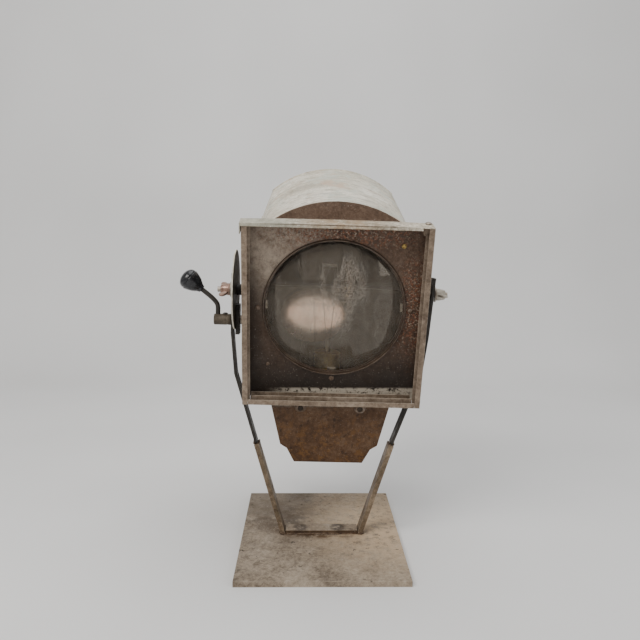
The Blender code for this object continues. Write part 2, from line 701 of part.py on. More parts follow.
# ---------------------------------------------------------------- lamp carriage and focus drive

def build_focus(head):
    """Two guide rods with nuts in front of the plate; the spindle between them has the rear knob."""
    rod_front, nut_deep = FRONT_Y - 6, 5.6
    nut = [(HOLE_R, 0), (6.0, 0), (7.0, 1.2), (7.0, 4.6), (8.6, 4.7), (8.6, nut_deep), (HOLE_R, nut_deep)]
    for sign, name in ((-1, "left"), (1, "right")):
        x = sign * ROD_X
        rod("guide_rod_" + name, GUIDE_R, (x, rod_front, ROD_Z), REAR_Y - SHEET - GAP - rod_front, "y",
            "pale_steel", head)
        place = (x, FRONT_Y - nut_deep - GAP, ROD_Z)
        new_object("guide_nut_" + name, turned(nut, "y", place, 12), "pale_steel", head, place)
    knob_axis = empty("focus_axis", (0, REAR_Y, ROD_Z), parent=head)
    inside, into_knob = 235, 8
    rod("focus_spindle", GUIDE_R, (0, -inside, 0), inside + into_knob, "y", "pale_steel", knob_axis)
    blind = into_knob + 2
    knob = [(HOLE_R, 1), (9, 1), (9, 5), (15, 6.5), (16, 9), (16, 19), (14, 22), (0, 22), (0, blind),
            (HOLE_R, blind)]
    bm = bored(knob)
    bm.transform(Matrix.Rotation(math.pi / 2, 4, "Z"))
    new_object("focus_knob", bm, "bakelite", knob_axis)


def build_carriage(head):
    """Block on the two guide rods with socket, bulb, bracket and mirror."""
    carriage = empty("carriage_axis", (0, BULB_Y, ROD_Z), parent=head)
    holes = [circle(x, 0, HOLE_R, 12) for x in (-ROD_X, 0, ROD_X)]
    outline = [(-CARRIAGE_HALF, -BLOCK_HALF), (CARRIAGE_HALF, -BLOCK_HALF), (CARRIAGE_HALF, BLOCK_HALF),
               (-CARRIAGE_HALF, BLOCK_HALF)]
    new_object("lamp_carriage", slab(outline, "xz", *CARRIAGE_SPAN, holes), "pale_steel", carriage)
    seat = BLOCK_HALF + GAP
    socket = [(0, seat), (22, seat), (22, 15), (19, 16), (19, SOCKET_TOP), (0, SOCKET_TOP)]
    new_object("lamp_socket", turned(socket, "z", sides=16), "ceramic", carriage)
    foot = SOCKET_TOP + GAP
    cap = [(0, foot), (13, foot), (13, CAP_TOP), (0, CAP_TOP)]
    new_object("bulb_cap", turned(cap, "z", sides=16), "brass", carriage)
    new_object("bulb", turned(bulb_profile(), "z", sides=20), "glass", carriage)
    build_mirror(carriage)
    build_mirror_bracket(carriage)


def bulb_profile():
    """Neck and globe, upright above the cap; the globe's middle is on the lens axis."""
    neck, centre = CAP_TOP + GAP, AXIS_Z - ROD_Z
    profile = [(0, neck), (12.6, neck), (14, neck + 7.7), (15, neck + 32.7), (18, centre - 29)]
    profile += arc(0, centre, GLOBE_R, -32.5, 72.5, 6)
    return profile + [(0, centre + GLOBE_R)]


def mirror_place():
    """From the dish's own frame, its face towards -Y, to the carriage's."""
    place = Matrix.Translation(Vector(MIRROR_AT) - Vector((0, BULB_Y, ROD_Z)))
    return place @ Matrix.Rotation(-math.radians(MIRROR_TILT), 4, "X")


def build_mirror(carriage):
    """An oval dished mirror behind the bulb, its face turned up."""
    half_wide, half_high = MIRROR_HALF
    face = []
    for i in range(7):
        radius = half_wide * i / 6
        face.append((radius, math.sqrt(MIRROR_CURVE ** 2 - radius ** 2) - MIRROR_CURVE))
    back = [(radius, along + MIRROR_THICK) for radius, along in face[::-1]]
    bm = turned(face + back, "y", sides=32)
    bm.transform(mirror_place() @ Matrix.Scale(half_high / half_wide, 4, (0, 0, 1)))
    new_object("mirror", bm, "mirror", carriage)


def build_mirror_bracket(carriage):
    """A bent strip from the carriage block up the mirror's back."""
    sheet, half = 2.0, 9.0
    behind = MIRROR_THICK + GAP + sheet
    place = mirror_place()
    low, high = (place @ Vector((0, behind, up)) for up in (-26, 10))
    path = [(23, BLOCK_HALF + GAP), (low.y, BLOCK_HALF + GAP), (low.y, low.z), (high.y, high.z)]
    strap = slab(strip(path, -sheet), "yz", MIRROR_AT[0] - half, MIRROR_AT[0] + half)
    new_object("mirror_bracket", strap, "pale_steel", carriage)


# ---------------------------------------------------------------- rear door

def build_door(head):
    """A flat door on a hinge at its left edge, held by one screw at its right."""
    axis = empty("door_axis", (HINGE_X, HINGE_Y, 0), parent=head)
    low, high = DOOR_Z
    left, right = -DOOR_HALF - HINGE_X, DOOR_HALF - HINGE_X
    inner_y = REAR_Y + GAP - HINGE_Y
    outline = [(left, low), (right, low), (right, high), (left, high)]
    hole = circle(THUMBSCREW[0] - HINGE_X, THUMBSCREW[1], 2.4, 8)
    new_object("rear_door", slab(outline, "xz", inner_y, inner_y + SHEET, [hole]), "rusty_brown", axis)
    wall = hinge_leaf(-15, inner_y, (-3.0, -2.4), arc(0, 0, KNUCKLE_R, 205, -120, 10), (-HINGE_HALF, -GAP))
    bmesh.ops.translate(wall, verts=wall.verts, vec=(HINGE_X, HINGE_Y, 0))
    new_object("hinge_leaf_fixed", wall, "pale_steel", head)
    door = hinge_leaf(16, inner_y + SHEET + GAP, (3.2, 2.2), arc(0, 0, KNUCKLE_R, -25, 300, 10),
                      (GAP, HINGE_HALF))
    new_object("hinge_leaf_door", door, "pale_steel", axis)
    rod("hinge_pin", PIN_R, (HINGE_X, HINGE_Y, -HINGE_HALF), 2 * HINGE_HALF, "z", "pale_steel", head, 10)


def hinge_leaf(tip, near, neck, knuckle, span):
    """A leaf lying against a sheet, from its tip to the knuckle rolled round the pin."""
    far = near + HINGE_SHEET
    section = [(tip, near), (tip, far), (neck[0], far)] + knuckle[1:-1] + [(neck[1], near)]
    return slab(section, "xy", *span, [circle(0, 0, PIN_R + 0.4, 10)])


def build_thumbscrew(head):
    x, z = THUMBSCREW
    screw_axis = empty("thumbscrew_axis", (x, REAR_Y + GAP + SHEET + GAP, z), parent=head)
    profile = [(0, -5), (2.0, -5), (2.0, 0), (9, 0), (9.5, 1), (9.5, 7), (8.5, 8), (0, 8)]
    new_object("door_thumbscrew", turned(profile, "y", sides=20), "brass", screw_axis)


def build_gland(head):
    """The cable inlet, open at its mouth."""
    bore, length = 4.2, 18
    profile = [(bore, 0), (11, 0), (11, 6), (8.5, 7), (8.5, 16), (7, length), (bore, length)]
    place = (GLAND_X, REAR_Y + GAP, ROD_Z - GLAND_DROP)
    new_object("cable_gland", turned(profile, "y", place, 16), "bakelite", head, place)


def main():
    clear_scene()
    stand = empty("stand", (0, 0, PLATE_THICK))
    swivel = empty("swivel", (PIVOT_X, 0, PIVOT_HEIGHT), (0, HEAD_LEAN, 0), stand)
    head = empty("head", rotation=(HEAD_TILT, 0, 0), parent=swivel)
    build_stand(stand)
    build_arm(stand, swivel, 0, "left")
    build_arm(stand, swivel, 1, "right")
    build_front_plate(head)
    build_hood(head)
    build_side_panel(head, -1, "left")
    build_side_panel(head, 1, "right")
    build_floor(head)
    build_rear_plate(head)
    build_lens(head)
    build_lens_fixings(head)
    build_filter_frame(head)
    build_flap(head)
    build_pivots(head, swivel)
    build_disc(head)
    build_clamp(swivel)
    build_focus(head)
    build_carriage(head)
    build_door(head)
    build_thumbscrew(head)
    build_gland(head)


main()
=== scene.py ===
"""Looks of the old theatre spotlight: fine meshes, worn paint, rust, glass and studio light.

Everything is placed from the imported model. Head coordinates are millimetres from the tilt pivot:
+X right, +Y back along the lens axis, +Z up.
"""
import json
import math
import random

import bmesh
import bpy
from mathutils import Matrix, Vector


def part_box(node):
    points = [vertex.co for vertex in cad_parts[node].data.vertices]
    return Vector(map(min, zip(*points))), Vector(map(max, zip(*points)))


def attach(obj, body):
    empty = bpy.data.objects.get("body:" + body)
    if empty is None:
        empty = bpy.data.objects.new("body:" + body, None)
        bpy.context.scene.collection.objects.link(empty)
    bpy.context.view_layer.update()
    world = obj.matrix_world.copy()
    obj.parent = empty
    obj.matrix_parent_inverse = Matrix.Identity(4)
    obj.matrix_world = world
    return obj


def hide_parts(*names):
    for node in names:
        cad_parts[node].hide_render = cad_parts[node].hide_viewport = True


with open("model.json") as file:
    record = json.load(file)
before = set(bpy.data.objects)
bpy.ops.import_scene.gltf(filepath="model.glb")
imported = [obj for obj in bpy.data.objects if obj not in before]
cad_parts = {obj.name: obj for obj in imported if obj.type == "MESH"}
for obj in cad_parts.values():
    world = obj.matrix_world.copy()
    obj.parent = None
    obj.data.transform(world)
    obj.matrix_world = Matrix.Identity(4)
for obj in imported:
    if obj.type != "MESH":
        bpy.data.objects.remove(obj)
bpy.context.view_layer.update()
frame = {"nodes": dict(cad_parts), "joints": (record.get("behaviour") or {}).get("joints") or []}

MM = 0.001
NODES = frame["nodes"]
JOINTS = {joint["name"]: joint for joint in frame["joints"]}


def axis_of(name):
    return Vector(JOINTS[name]["axis"]).normalized()


def frame_at(origin, x_axis, y_axis, z_axis):
    turned_axes = Matrix((x_axis, y_axis, z_axis)).transposed().to_4x4()
    turned_axes.translation = Vector(origin)
    return turned_axes @ Matrix.Scale(MM, 4)


TILT_AXIS = axis_of("head_tilt")
LENS_AXIS = axis_of("focus_turn")
HEAD_UP = axis_of("flap_swing")
PIVOT = Vector(JOINTS["head_tilt"]["pos_m"])
HEAD = frame_at(PIVOT, TILT_AXIS, LENS_AXIS, HEAD_UP)
LEVER = frame_at(JOINTS["clamp_turn"]["pos_m"], TILT_AXIS, Vector((0, 1, 0)),
                 TILT_AXIS.cross(Vector((0, 1, 0))))
CARRIAGE_Y = 75.0
LENS_Z = -6.0
GUIDE_Z = -158.0
MIRROR_AT = (-12.0, 118.0, -76.0)
MIRROR_HALF = (29.3, 22.0)


# ---------------------------------------------------------------- mesh tools

def finish_mesh(name, bm, place, look, body, replaced=(), sharp=40.0):
    """Make a piece from a bmesh in millimetres, put it in place and let it ride on its body."""
    bm.transform(place)
    bmesh.ops.recalc_face_normals(bm, faces=bm.faces)
    mesh = bpy.data.meshes.new(name)
    bm.to_mesh(mesh)
    bm.free()
    mesh.shade_smooth()
    mesh.set_sharp_from_angle(angle=math.radians(sharp))
    mesh.materials.append(look)
    piece = bpy.data.objects.new(name, mesh)
    bpy.context.collection.objects.link(piece)
    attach(piece, body)
    if replaced:
        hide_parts(*replaced)
    return piece


def lathe(profile, sides=96, place=Matrix.Identity(4), bm=None, closed=False):
    """Revolve (radius, distance) points about the local Z axis."""
    bm = bm or bmesh.new()
    rings = []
    for radius, along in profile:
        count = 1 if radius < 1e-6 else sides
        ring = []
        for i in range(count):
            angle = 2 * math.pi * i / sides
            spot = place @ Vector((radius * math.cos(angle), radius * math.sin(angle), along))
            ring.append(bm.verts.new(spot))
        rings.append(ring)
    pairs = list(zip(rings, rings[1:]))
    if closed:
        pairs.append((rings[-1], rings[0]))
    for low, high in pairs:
        if len(low) == len(high) == 1:
            continue
        for i in range(sides):
            j = (i + 1) % sides
            corners = [low[i % len(low)], low[j % len(low)], high[j % len(high)], high[i % len(high)]]
            bm.faces.new(list(dict.fromkeys(corners)))
    return bm


def rounded(profile, radius, steps=3):
    """Round the inner corners of an open profile."""
    points = [Vector(p) for p in profile]
    out = [points[0]]
    for before, here, after in zip(points, points[1:], points[2:]):
        back, ahead = before - here, after - here
        reach = min(radius, back.length * 0.45, ahead.length * 0.45)
        start = here + back.normalized() * reach
        end = here + ahead.normalized() * reach
        for i in range(steps + 1):
            t = i / steps
            out.append((1 - t) ** 2 * start + 2 * t * (1 - t) * here + t * t * end)
    out.append(points[-1])
    return [tuple(p) for p in out]


def tube(points, radius, sides=12, bm=None, taper=None, wobble=0.0, seed=0):
    """A round rod through points; wobble makes it lumpy like a weld bead."""
    bm = bm or bmesh.new()
    path = [Vector(p) for p in points]
    chooser = random.Random(seed)
    rings = []
    for i, here in enumerate(path):
        before, after = path[max(i - 1, 0)], path[min(i + 1, len(path) - 1)]
        along = (after - before).normalized()
        guide = Vector((0, 1, 0)) if abs(along.y) < 0.9 else Vector((1, 0, 0))
        side = along.cross(guide).normalized()
        up = along.cross(side)
        size = radius * (taper(i / (len(path) - 1)) if taper else 1.0)
        ring = []
        for k in range(sides):
            angle = 2 * math.pi * k / sides
            grown = size * (1 + wobble * chooser.uniform(-1, 1))
            ring.append(bm.verts.new(here + grown * (math.cos(angle) * side + math.sin(angle) * up)))
        rings.append(ring)
    for low, high in zip(rings, rings[1:]):
        for k in range(sides):
            j = (k + 1) % sides
            bm.faces.new((low[k], low[j], high[j], high[k]))
    bm.faces.new(rings[0])
    bm.faces.new(rings[-1])
    return bm


def turn_to(direction, origin=(0, 0, 0)):
    """Local Z along direction, at origin."""
    turn = Vector((0, 0, 1)).rotation_difference(Vector(direction)).to_matrix().to_4x4()
    return Matrix.Translation(origin) @ turn


def curve_points(points, count):
    """A smooth run through given points."""
    path = [Vector(p) for p in points]
    ends = [path[0] * 2 - path[1]] + path + [path[-1] * 2 - path[-2]]
    out = []
    for a, b, c, d in zip(ends, ends[1:], ends[2:], ends[3:]):
        for i in range(count):
            t = i / count
            out.append(0.5 * ((2 * b) + (c - a) * t + (2 * a - 5 * b + 4 * c - d) * t * t
                              + (3 * b - a - 3 * c + d) * t ** 3))
    return out + [path[-1]]


# ---------------------------------------------------------------- material tools

class Paint:
    """A procedural material; textures are fixed to the object's own coordinates, in metres."""

    def __init__(self, name, roughness=0.5, metallic=0.0):
        self.made = bpy.data.materials.new(name)
        self.made.use_nodes = True
        self.tree = self.made.node_tree
        self.shader = self.tree.nodes["Principled BSDF"]
        self.shader.inputs["Roughness"].default_value = roughness
        self.shader.inputs["Metallic"].default_value = metallic
        self.shader.inputs["Specular IOR Level"].default_value = 0.3
        self.place = self.add("ShaderNodeTexCoord").outputs["Object"]

    def add(self, kind, **settings):
        node = self.tree.nodes.new(kind)
        for key, value in settings.items():
            setattr(node, key, value)
        return node

    def feed(self, socket, value):
        if isinstance(value, bpy.types.NodeSocket):
            self.tree.links.new(value, socket)
        elif isinstance(value, (tuple, list)) and len(value) == 3 and socket.type == "RGBA":
            socket.default_value = (*value, 1.0)
        else:
            socket.default_value = value

    def scaled(self, factor):
        node = self.add("ShaderNodeVectorMath", operation="MULTIPLY")
        self.feed(node.inputs[0], self.place)
        node.inputs[1].default_value = factor
        return node.outputs[0]

    def noise(self, scale, detail=4.0, rough=0.6, stretch=None, warp=0.0, offset=0.0):
        node = self.add("ShaderNodeTexNoise", noise_dimensions="4D")
        self.feed(node.inputs["Vector"], self.scaled(stretch) if stretch else self.place)
        node.inputs["Scale"].default_value = scale
        node.inputs["Detail"].default_value = detail
        node.inputs["Roughness"].default_value = rough
        node.inputs["Distortion"].default_value = warp
        node.inputs["W"].default_value = offset
        return node.outputs["Fac"]

    def ramp(self, fac, *stops, ease="LINEAR"):
        node = self.add("ShaderNodeValToRGB")
        band = node.color_ramp
        band.interpolation = ease
        while len(band.elements) < len(stops):
            band.elements.new(0.5)
        for element, (spot, colour) in zip(band.elements, stops):
            element.position = spot
            shade = colour if isinstance(colour, tuple) else (colour,) * 3
            element.color = (*shade, 1.0)
        self.feed(node.inputs["Fac"], fac)
        return node.outputs["Color"]

    def mask(self, fac, low, high):
        node = self.add("ShaderNodeMapRange", clamp=True, interpolation_type="SMOOTHSTEP")
        self.feed(node.inputs["Value"], fac)
        node.inputs["From Min"].default_value = low
        node.inputs["From Max"].default_value = high
        return node.outputs["Result"]

    def sums(self, operation, a, b):
        node = self.add("ShaderNodeMath", operation=operation)
        self.feed(node.inputs[0], a)
        self.feed(node.inputs[1], b)
        return node.outputs[0]

    def times(self, a, b):
        return self.sums("MULTIPLY", a, b)

    def inverse(self, value):
        return self.sums("SUBTRACT", 1.0, value)

    def mix(self, fac, a, b, blend="MIX"):
        node = self.add("ShaderNodeMix", data_type="RGBA", blend_type=blend)
        self.feed(node.inputs[0], fac)
        self.feed(node.inputs[6], a)
        self.feed(node.inputs[7], b)
        return node.outputs[2]

    def mottle(self, broad, fine, share=0.5, gain=3.0):
        """Two noises mixed and spread to use the whole range from 0 to 1."""
        mixed = self.sums("ADD", self.times(broad, 1 - share), self.times(fine, share))
        node = self.add("ShaderNodeMapRange", clamp=True)
        self.feed(node.inputs["Value"], mixed)
        node.inputs["From Min"].default_value = 0.5 - 0.5 / gain
        node.inputs["From Max"].default_value = 0.5 + 0.5 / gain
        return node.outputs["Result"]

    def facing_up(self, low=0.35, high=0.85):
        """1 where the surface looks up and dust settles."""
        node = self.add("ShaderNodeSeparateXYZ")
        self.feed(node.inputs[0], self.add("ShaderNodeNewGeometry").outputs["Normal"])
        return self.mask(node.outputs[2], low, high)

    def near(self, centre, inner, outer, squash=(1, 1, 1)):
        """1 inside a soft ball round centre (metres), 0 outside."""
        shift = self.add("ShaderNodeVectorMath", operation="SUBTRACT")
        self.feed(shift.inputs[0], self.place)
        shift.inputs[1].default_value = centre
        flat = self.add("ShaderNodeVectorMath", operation="MULTIPLY")
        self.feed(flat.inputs[0], shift.outputs[0])
        flat.inputs[1].default_value = squash
        size = self.add("ShaderNodeVectorMath", operation="LENGTH")
        self.feed(size.inputs[0], flat.outputs[0])
        return self.inverse(self.mask(size.outputs["Value"], inner, outer))

    def axis(self, which):
        node = self.add("ShaderNodeSeparateXYZ")
        self.feed(node.inputs[0], self.place)
        return node.outputs[which]

    def edges(self, radius):
        """1 on sharp edges: where the rounded normal leaves the true one."""
        soft = self.add("ShaderNodeBevel", samples=4)
        soft.inputs["Radius"].default_value = radius
        true = self.add("ShaderNodeNewGeometry").outputs["Normal"]
        dot = self.add("ShaderNodeVectorMath", operation="DOT_PRODUCT")
        self.feed(dot.inputs[0], soft.outputs[0])
        self.feed(dot.inputs[1], true)
        return self.mask(dot.outputs["Value"], 0.985, 0.80)

    def bump(self, height, strength, depth, under=None):
        node = self.add("ShaderNodeBump")
        node.inputs["Strength"].default_value = strength
        node.inputs["Distance"].default_value = depth
        self.feed(node.inputs["Height"], height)
        if under is not None:
            self.feed(node.inputs["Normal"], under)
        return node.outputs["Normal"]

    def wear(self, colour, rust, cover, specks, scale=1.0):
        """Rust blooms, dark pits and pale dust over a paint colour; returns colour and rust mask."""
        bloom = self.times(self.noise(14 * scale, 5, 0.7, offset=3.1),
                          self.noise(130 * scale, 4, 0.65, offset=1.7))
        rust_mask = self.mask(bloom, 0.40 - 0.16 * cover, 0.50 - 0.16 * cover)
        tone = self.ramp(self.noise(260 * scale, 3, 0.7), (0.3, tuple(0.45 * c for c in rust)), (0.7, rust))
        colour = self.mix(rust_mask, colour, tone)
        pits = self.mask(self.noise(520 * scale, 2, 0.5, offset=8.0), 0.66, 0.72)
        colour = self.mix(self.times(pits, 0.6), colour, (0.012, 0.009, 0.007))
        dust = self.mask(self.noise(700 * scale, 2, 0.5, offset=5.0), 0.70 - 0.05 * specks, 0.76)
        colour = self.mix(self.times(dust, 0.5 * specks), colour, (0.42, 0.38, 0.33))
        return colour, rust_mask

    def done(self, colour, normal=None, roughness=None):
        self.feed(self.shader.inputs["Base Color"], colour)
        if normal is not None:
            self.feed(self.shader.inputs["Normal"], normal)
        if roughness is not None:
            self.feed(self.shader.inputs["Roughness"], roughness)
        return self.made


def worn_paint(name, tones, rust=(0.15, 0.055, 0.02), cover=0.3, specks=0.6, bare=None, rough=(0.45, 0.75),
               relief=0.35, metallic=0.0, scale=1.0, edge=0.0006, dusty=0.0):
    """Mottled old paint in three tones, with rust, dust and rubbed edges."""
    p = Paint(name, metallic=metallic)
    fine = p.noise(150 * scale, 5, 0.75, offset=2.0)
    mixed = p.mottle(p.noise(18 * scale, 5, 0.65), fine)
    colour = p.ramp(mixed, (0.12, tones[0]), (0.50, tones[1]), (0.88, tones[2]))
    colour, rust_mask = p.wear(colour, rust, cover, specks, scale)
    if dusty:
        settled = p.times(p.facing_up(), p.mask(p.noise(110, 5, 0.75, offset=14.0), 0.30, 0.62))
        colour = p.mix(p.times(settled, dusty), colour, (0.40, 0.35, 0.28))
    if bare:
        rubbed = p.times(p.edges(edge), p.mask(p.noise(60, 4, 0.7, offset=6.0), 0.35, 0.6))
        colour = p.mix(rubbed, colour, bare)
    normal = p.bump(p.sums("ADD", fine, p.times(rust_mask, 0.6)), relief, 0.0004)
    roughness = p.ramp(p.noise(50 * scale, 4, 0.6, offset=9.0), (0.35, rough[0]), (0.65, rough[1]))
    return p.done(colour, normal, roughness)


# ---------------------------------------------------------------- the looks

def front_look():
    """Heat-browned plate: a pale painted highlight top left, red rust at the top and right, painted shade at the
    bottom.
    """
    low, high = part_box("front_plate")
    p = Paint("front_plate_paint")
    fine = p.noise(190, 6, 0.8, offset=2.0)
    mixed = p.mottle(p.noise(13, 5, 0.65, offset=1.0), fine, 0.55)
    colour = p.ramp(mixed, (0.10, (0.026, 0.014, 0.008)), (0.50, (0.072, 0.042, 0.026)),
                    (0.90, (0.135, 0.088, 0.060)))
    centre = HEAD @ Vector((0, -55, LENS_Z))
    # pale patch top left, broken up by noise: a painted highlight
    painted_highlight = p.near(HEAD @ Vector((-88, -55, 72)), 0.010, 0.095, (0.9, 0.2, 0.85))
    painted_highlight = p.times(painted_highlight, p.mask(p.noise(75, 6, 0.8, offset=4.0), 0.22, 0.66))
    colour = p.mix(p.times(painted_highlight, 0.95), colour, (0.335, 0.275, 0.215))
    flank = p.near(HEAD @ Vector((-122, -55, -30)), 0.014, 0.055, (1.4, 0.2, 0.45))
    colour = p.mix(p.times(flank, 0.8), colour, (0.024, 0.015, 0.009))
    upper = p.near(HEAD @ Vector((15, -55, 106)), 0.012, 0.080, (0.50, 0.2, 1.8))
    right = p.near(HEAD @ Vector((112, -55, -5)), 0.012, 0.095, (2.2, 0.2, 0.80))
    region = p.sums("MAXIMUM", upper, right)
    spots = p.mask(p.noise(240, 4, 0.8, offset=7.0), 0.48, 0.56)
    red = p.ramp(p.noise(310, 3, 0.7, offset=3.0), (0.40, (0.050, 0.014, 0.008)), (0.60, (0.22, 0.085, 0.040)))
    colour = p.mix(p.times(region, spots), colour, red)
    pale = p.mask(p.noise(350, 3, 0.75, offset=12.0), 0.56, 0.62)
    colour = p.mix(p.times(p.times(region, pale), 0.8), colour, (0.36, 0.28, 0.21))
    pits = p.mask(p.noise(300, 3, 0.7, offset=21.0), 0.58, 0.63)
    colour = p.mix(p.times(p.times(region, pits), 0.85), colour, (0.010, 0.007, 0.005))
    above = p.mask(p.axis(2), centre.z - 0.150, centre.z - 0.142)
    # darker towards the bottom of the plate, above the nose: painted shade
    low_shade = p.inverse(p.mask(p.axis(2), centre.z - 0.120, centre.z - 0.01))
    low_shade = p.times(p.times(low_shade, above), 0.88)
    colour = p.mix(low_shade, colour, (0.009, 0.006, 0.004))
    low_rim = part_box("filter_runner_bottom")[1].z
    band = p.inverse(p.mask(p.axis(2), low_rim + 0.003, low_rim + 0.007))
    band = p.times(above, band)
    band = p.times(band, p.mask(p.axis(0), PIVOT.x - 0.100, PIVOT.x - 0.055))
    band = p.times(band, p.mask(p.noise(150, 5, 0.8, offset=41.0), 0.40, 0.50))
    colour = p.mix(p.times(band, 0.9), colour, (0.42, 0.37, 0.30))
    nose = p.ramp(p.mottle(p.noise(24, 5, 0.7, offset=5.0), p.noise(170, 5, 0.8, offset=6.0)),
                  (0.10, (0.030, 0.014, 0.007)), (0.50, (0.085, 0.044, 0.022)), (0.90, (0.15, 0.092, 0.055)))
    orange = p.mask(p.noise(85, 6, 0.8, offset=11.0), 0.50, 0.58)
    deeper = p.inverse(p.mask(p.axis(2), low.z + 0.02, low.z + 0.10))
    nose = p.mix(p.times(orange, p.sums("ADD", 0.15, p.times(deeper, 0.45))), nose,
                 (0.17, 0.080, 0.025))
    blots = p.mask(p.noise(60, 5, 0.75, offset=31.0), 0.58, 0.64)
    nose = p.mix(p.times(blots, 0.7), nose, (0.022, 0.012, 0.008))
    colour = p.mix(above, nose, colour)
    arch = p.mask(p.axis(2), high.z - 0.035, high.z - 0.028)
    arch_tone = p.ramp(mixed, (0.10, (0.055, 0.032, 0.020)), (0.50, (0.120, 0.076, 0.052)),
                       (0.90, (0.200, 0.140, 0.102)))
    colour = p.mix(arch, colour, arch_tone)
    colour, rust_mask = p.wear(colour, (0.17, 0.065, 0.028), 0.12, 1.2)
    rim = p.edges(0.0007)
    colour = p.mix(p.times(rim, 0.6), colour, (0.42, 0.36, 0.29))
    normal = p.bump(p.sums("ADD", fine, p.times(rust_mask, 0.5)), 0.45, 0.0006)
    roughness = p.ramp(p.noise(60, 4, 0.6, offset=9.0), (0.35, 0.42), (0.65, 0.72))
    return p.done(colour, normal, roughness)


def hood_look():
    """Aged cream enamel with greenish and pinkish patches, fine scratches and a grimy hem."""
    p = Paint("hood_cream")
    broad = p.noise(13, 5, 0.65, offset=1.0)
    fine = p.noise(170, 5, 0.8, offset=17.0)
    colour = p.ramp(p.mottle(broad, fine, 0.45), (0.08, (0.30, 0.265, 0.20)), (0.50, (0.60, 0.56, 0.46)),
                    (0.92, (0.84, 0.81, 0.72)))
    colour = p.mix(p.times(p.mask(p.noise(20, 5, 0.7, offset=4.0), 0.50, 0.60), 0.8), colour,
                   (0.50, 0.53, 0.46))
    colour = p.mix(p.times(p.mask(p.noise(26, 6, 0.75, offset=7.0), 0.54, 0.62), 0.7), colour,
                   (0.52, 0.37, 0.26))
    streaks = p.mask(p.noise(95, 6, 0.8, stretch=(0.22, 1.0, 0.45), offset=27.0), 0.50, 0.62)
    colour = p.mix(p.times(streaks, 0.55), colour, (0.36, 0.30, 0.22))
    scratch = p.mask(p.noise(240, 4, 0.7, stretch=(0.10, 0.6, 1.0), offset=2.0), 0.52, 0.64)
    colour = p.mix(p.times(scratch, 0.65), colour, (0.24, 0.21, 0.16))
    grazed = p.mask(p.noise(46, 6, 0.8, stretch=(0.35, 1.0, 1.0), offset=23.0), 0.60, 0.64)
    colour = p.mix(p.times(grazed, 0.75), colour, (0.17, 0.13, 0.09))
    colour = p.wear(colour, (0.25, 0.13, 0.06), -0.1, 0.5)[0]
    grime = p.times(p.edges(0.0012), 0.75)
    colour = p.mix(grime, colour, (0.12, 0.09, 0.06))
    normal = p.bump(p.noise(60, 5, 0.6, offset=3.0), 0.25, 0.0006, p.bump(broad, 0.5, 0.004))
    roughness = p.ramp(p.noise(40, 4, 0.6, offset=9.0), (0.35, 0.42), (0.65, 0.62))
    return p.done(colour, normal, roughness)


def plate_look():
    """The floor plate: mottled grey-brown mill steel, darker stains, a painted shadow of the left leg and yellow
    rust to the right.
    """
    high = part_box("base_plate")[1]
    p = Paint("floor_plate_steel", metallic=0.15)
    broad = p.noise(12, 6, 0.7, offset=1.0)
    fine = p.noise(210, 6, 0.85, offset=2.0)
    colour = p.ramp(p.mottle(broad, fine, 0.5, 4.4), (0.06, (0.100, 0.076, 0.054)), (0.50, (0.275, 0.222, 0.166)),
                    (0.94, (0.440, 0.370, 0.290)))
    corner = p.times(p.inverse(p.mask(p.axis(0), -0.014, 0.002)),
                    p.mask(p.axis(1), high.y - 0.110, high.y - 0.090))
    colour = p.mix(p.times(corner, 0.58), colour, (0.135, 0.108, 0.080))
    warm = p.near((high.x - 0.02, 0.03, high.z), 0.02, 0.17, (1.0, 0.75, 1.0))
    yellow = p.mask(p.noise(90, 6, 0.8, offset=5.0), 0.34, 0.54)
    colour = p.mix(p.times(p.times(warm, yellow), 0.9), colour, (0.56, 0.42, 0.28))
    # dark streak running back from the left foot: a painted shadow of the leg
    leg_shadow = p.near((-0.055, 0.045, high.z), 0.010, 0.060, (1.0, 0.55, 1.0))
    leg_shadow = p.times(leg_shadow, p.mask(p.noise(55, 5, 0.75, offset=16.0), 0.38, 0.56))
    colour = p.mix(p.times(leg_shadow, 0.7), colour, (0.080, 0.055, 0.035))
    foot = p.near((0.0, 0.0, high.z), 0.045, 0.085, (1.0, 2.6, 1.0))
    colour = p.mix(p.times(foot, p.mask(p.noise(80, 5, 0.7, offset=6.0), 0.4, 0.56)), colour,
                   (0.095, 0.052, 0.026))
    stains = p.mask(p.noise(34, 5, 0.7, offset=8.0), 0.58, 0.64)
    colour = p.mix(p.times(stains, 0.55), colour, (0.095, 0.070, 0.048))
    blots = p.mask(p.noise(85, 3, 0.6, offset=18.0), 0.66, 0.69)
    colour = p.mix(p.times(blots, 0.8), colour, (0.030, 0.022, 0.015))
    colour = p.wear(colour, (0.17, 0.08, 0.035), 0.05, 1.4)[0]
    colour = p.mix(p.times(p.edges(0.0012), 0.6), colour, (0.40, 0.34, 0.27))
    normal = p.bump(p.sums("ADD", fine, broad), 0.40, 0.0006)
    roughness = p.ramp(p.noise(45, 4, 0.6, offset=9.0), (0.35, 0.55), (0.65, 0.85))
    return p.done(colour, normal, roughness)


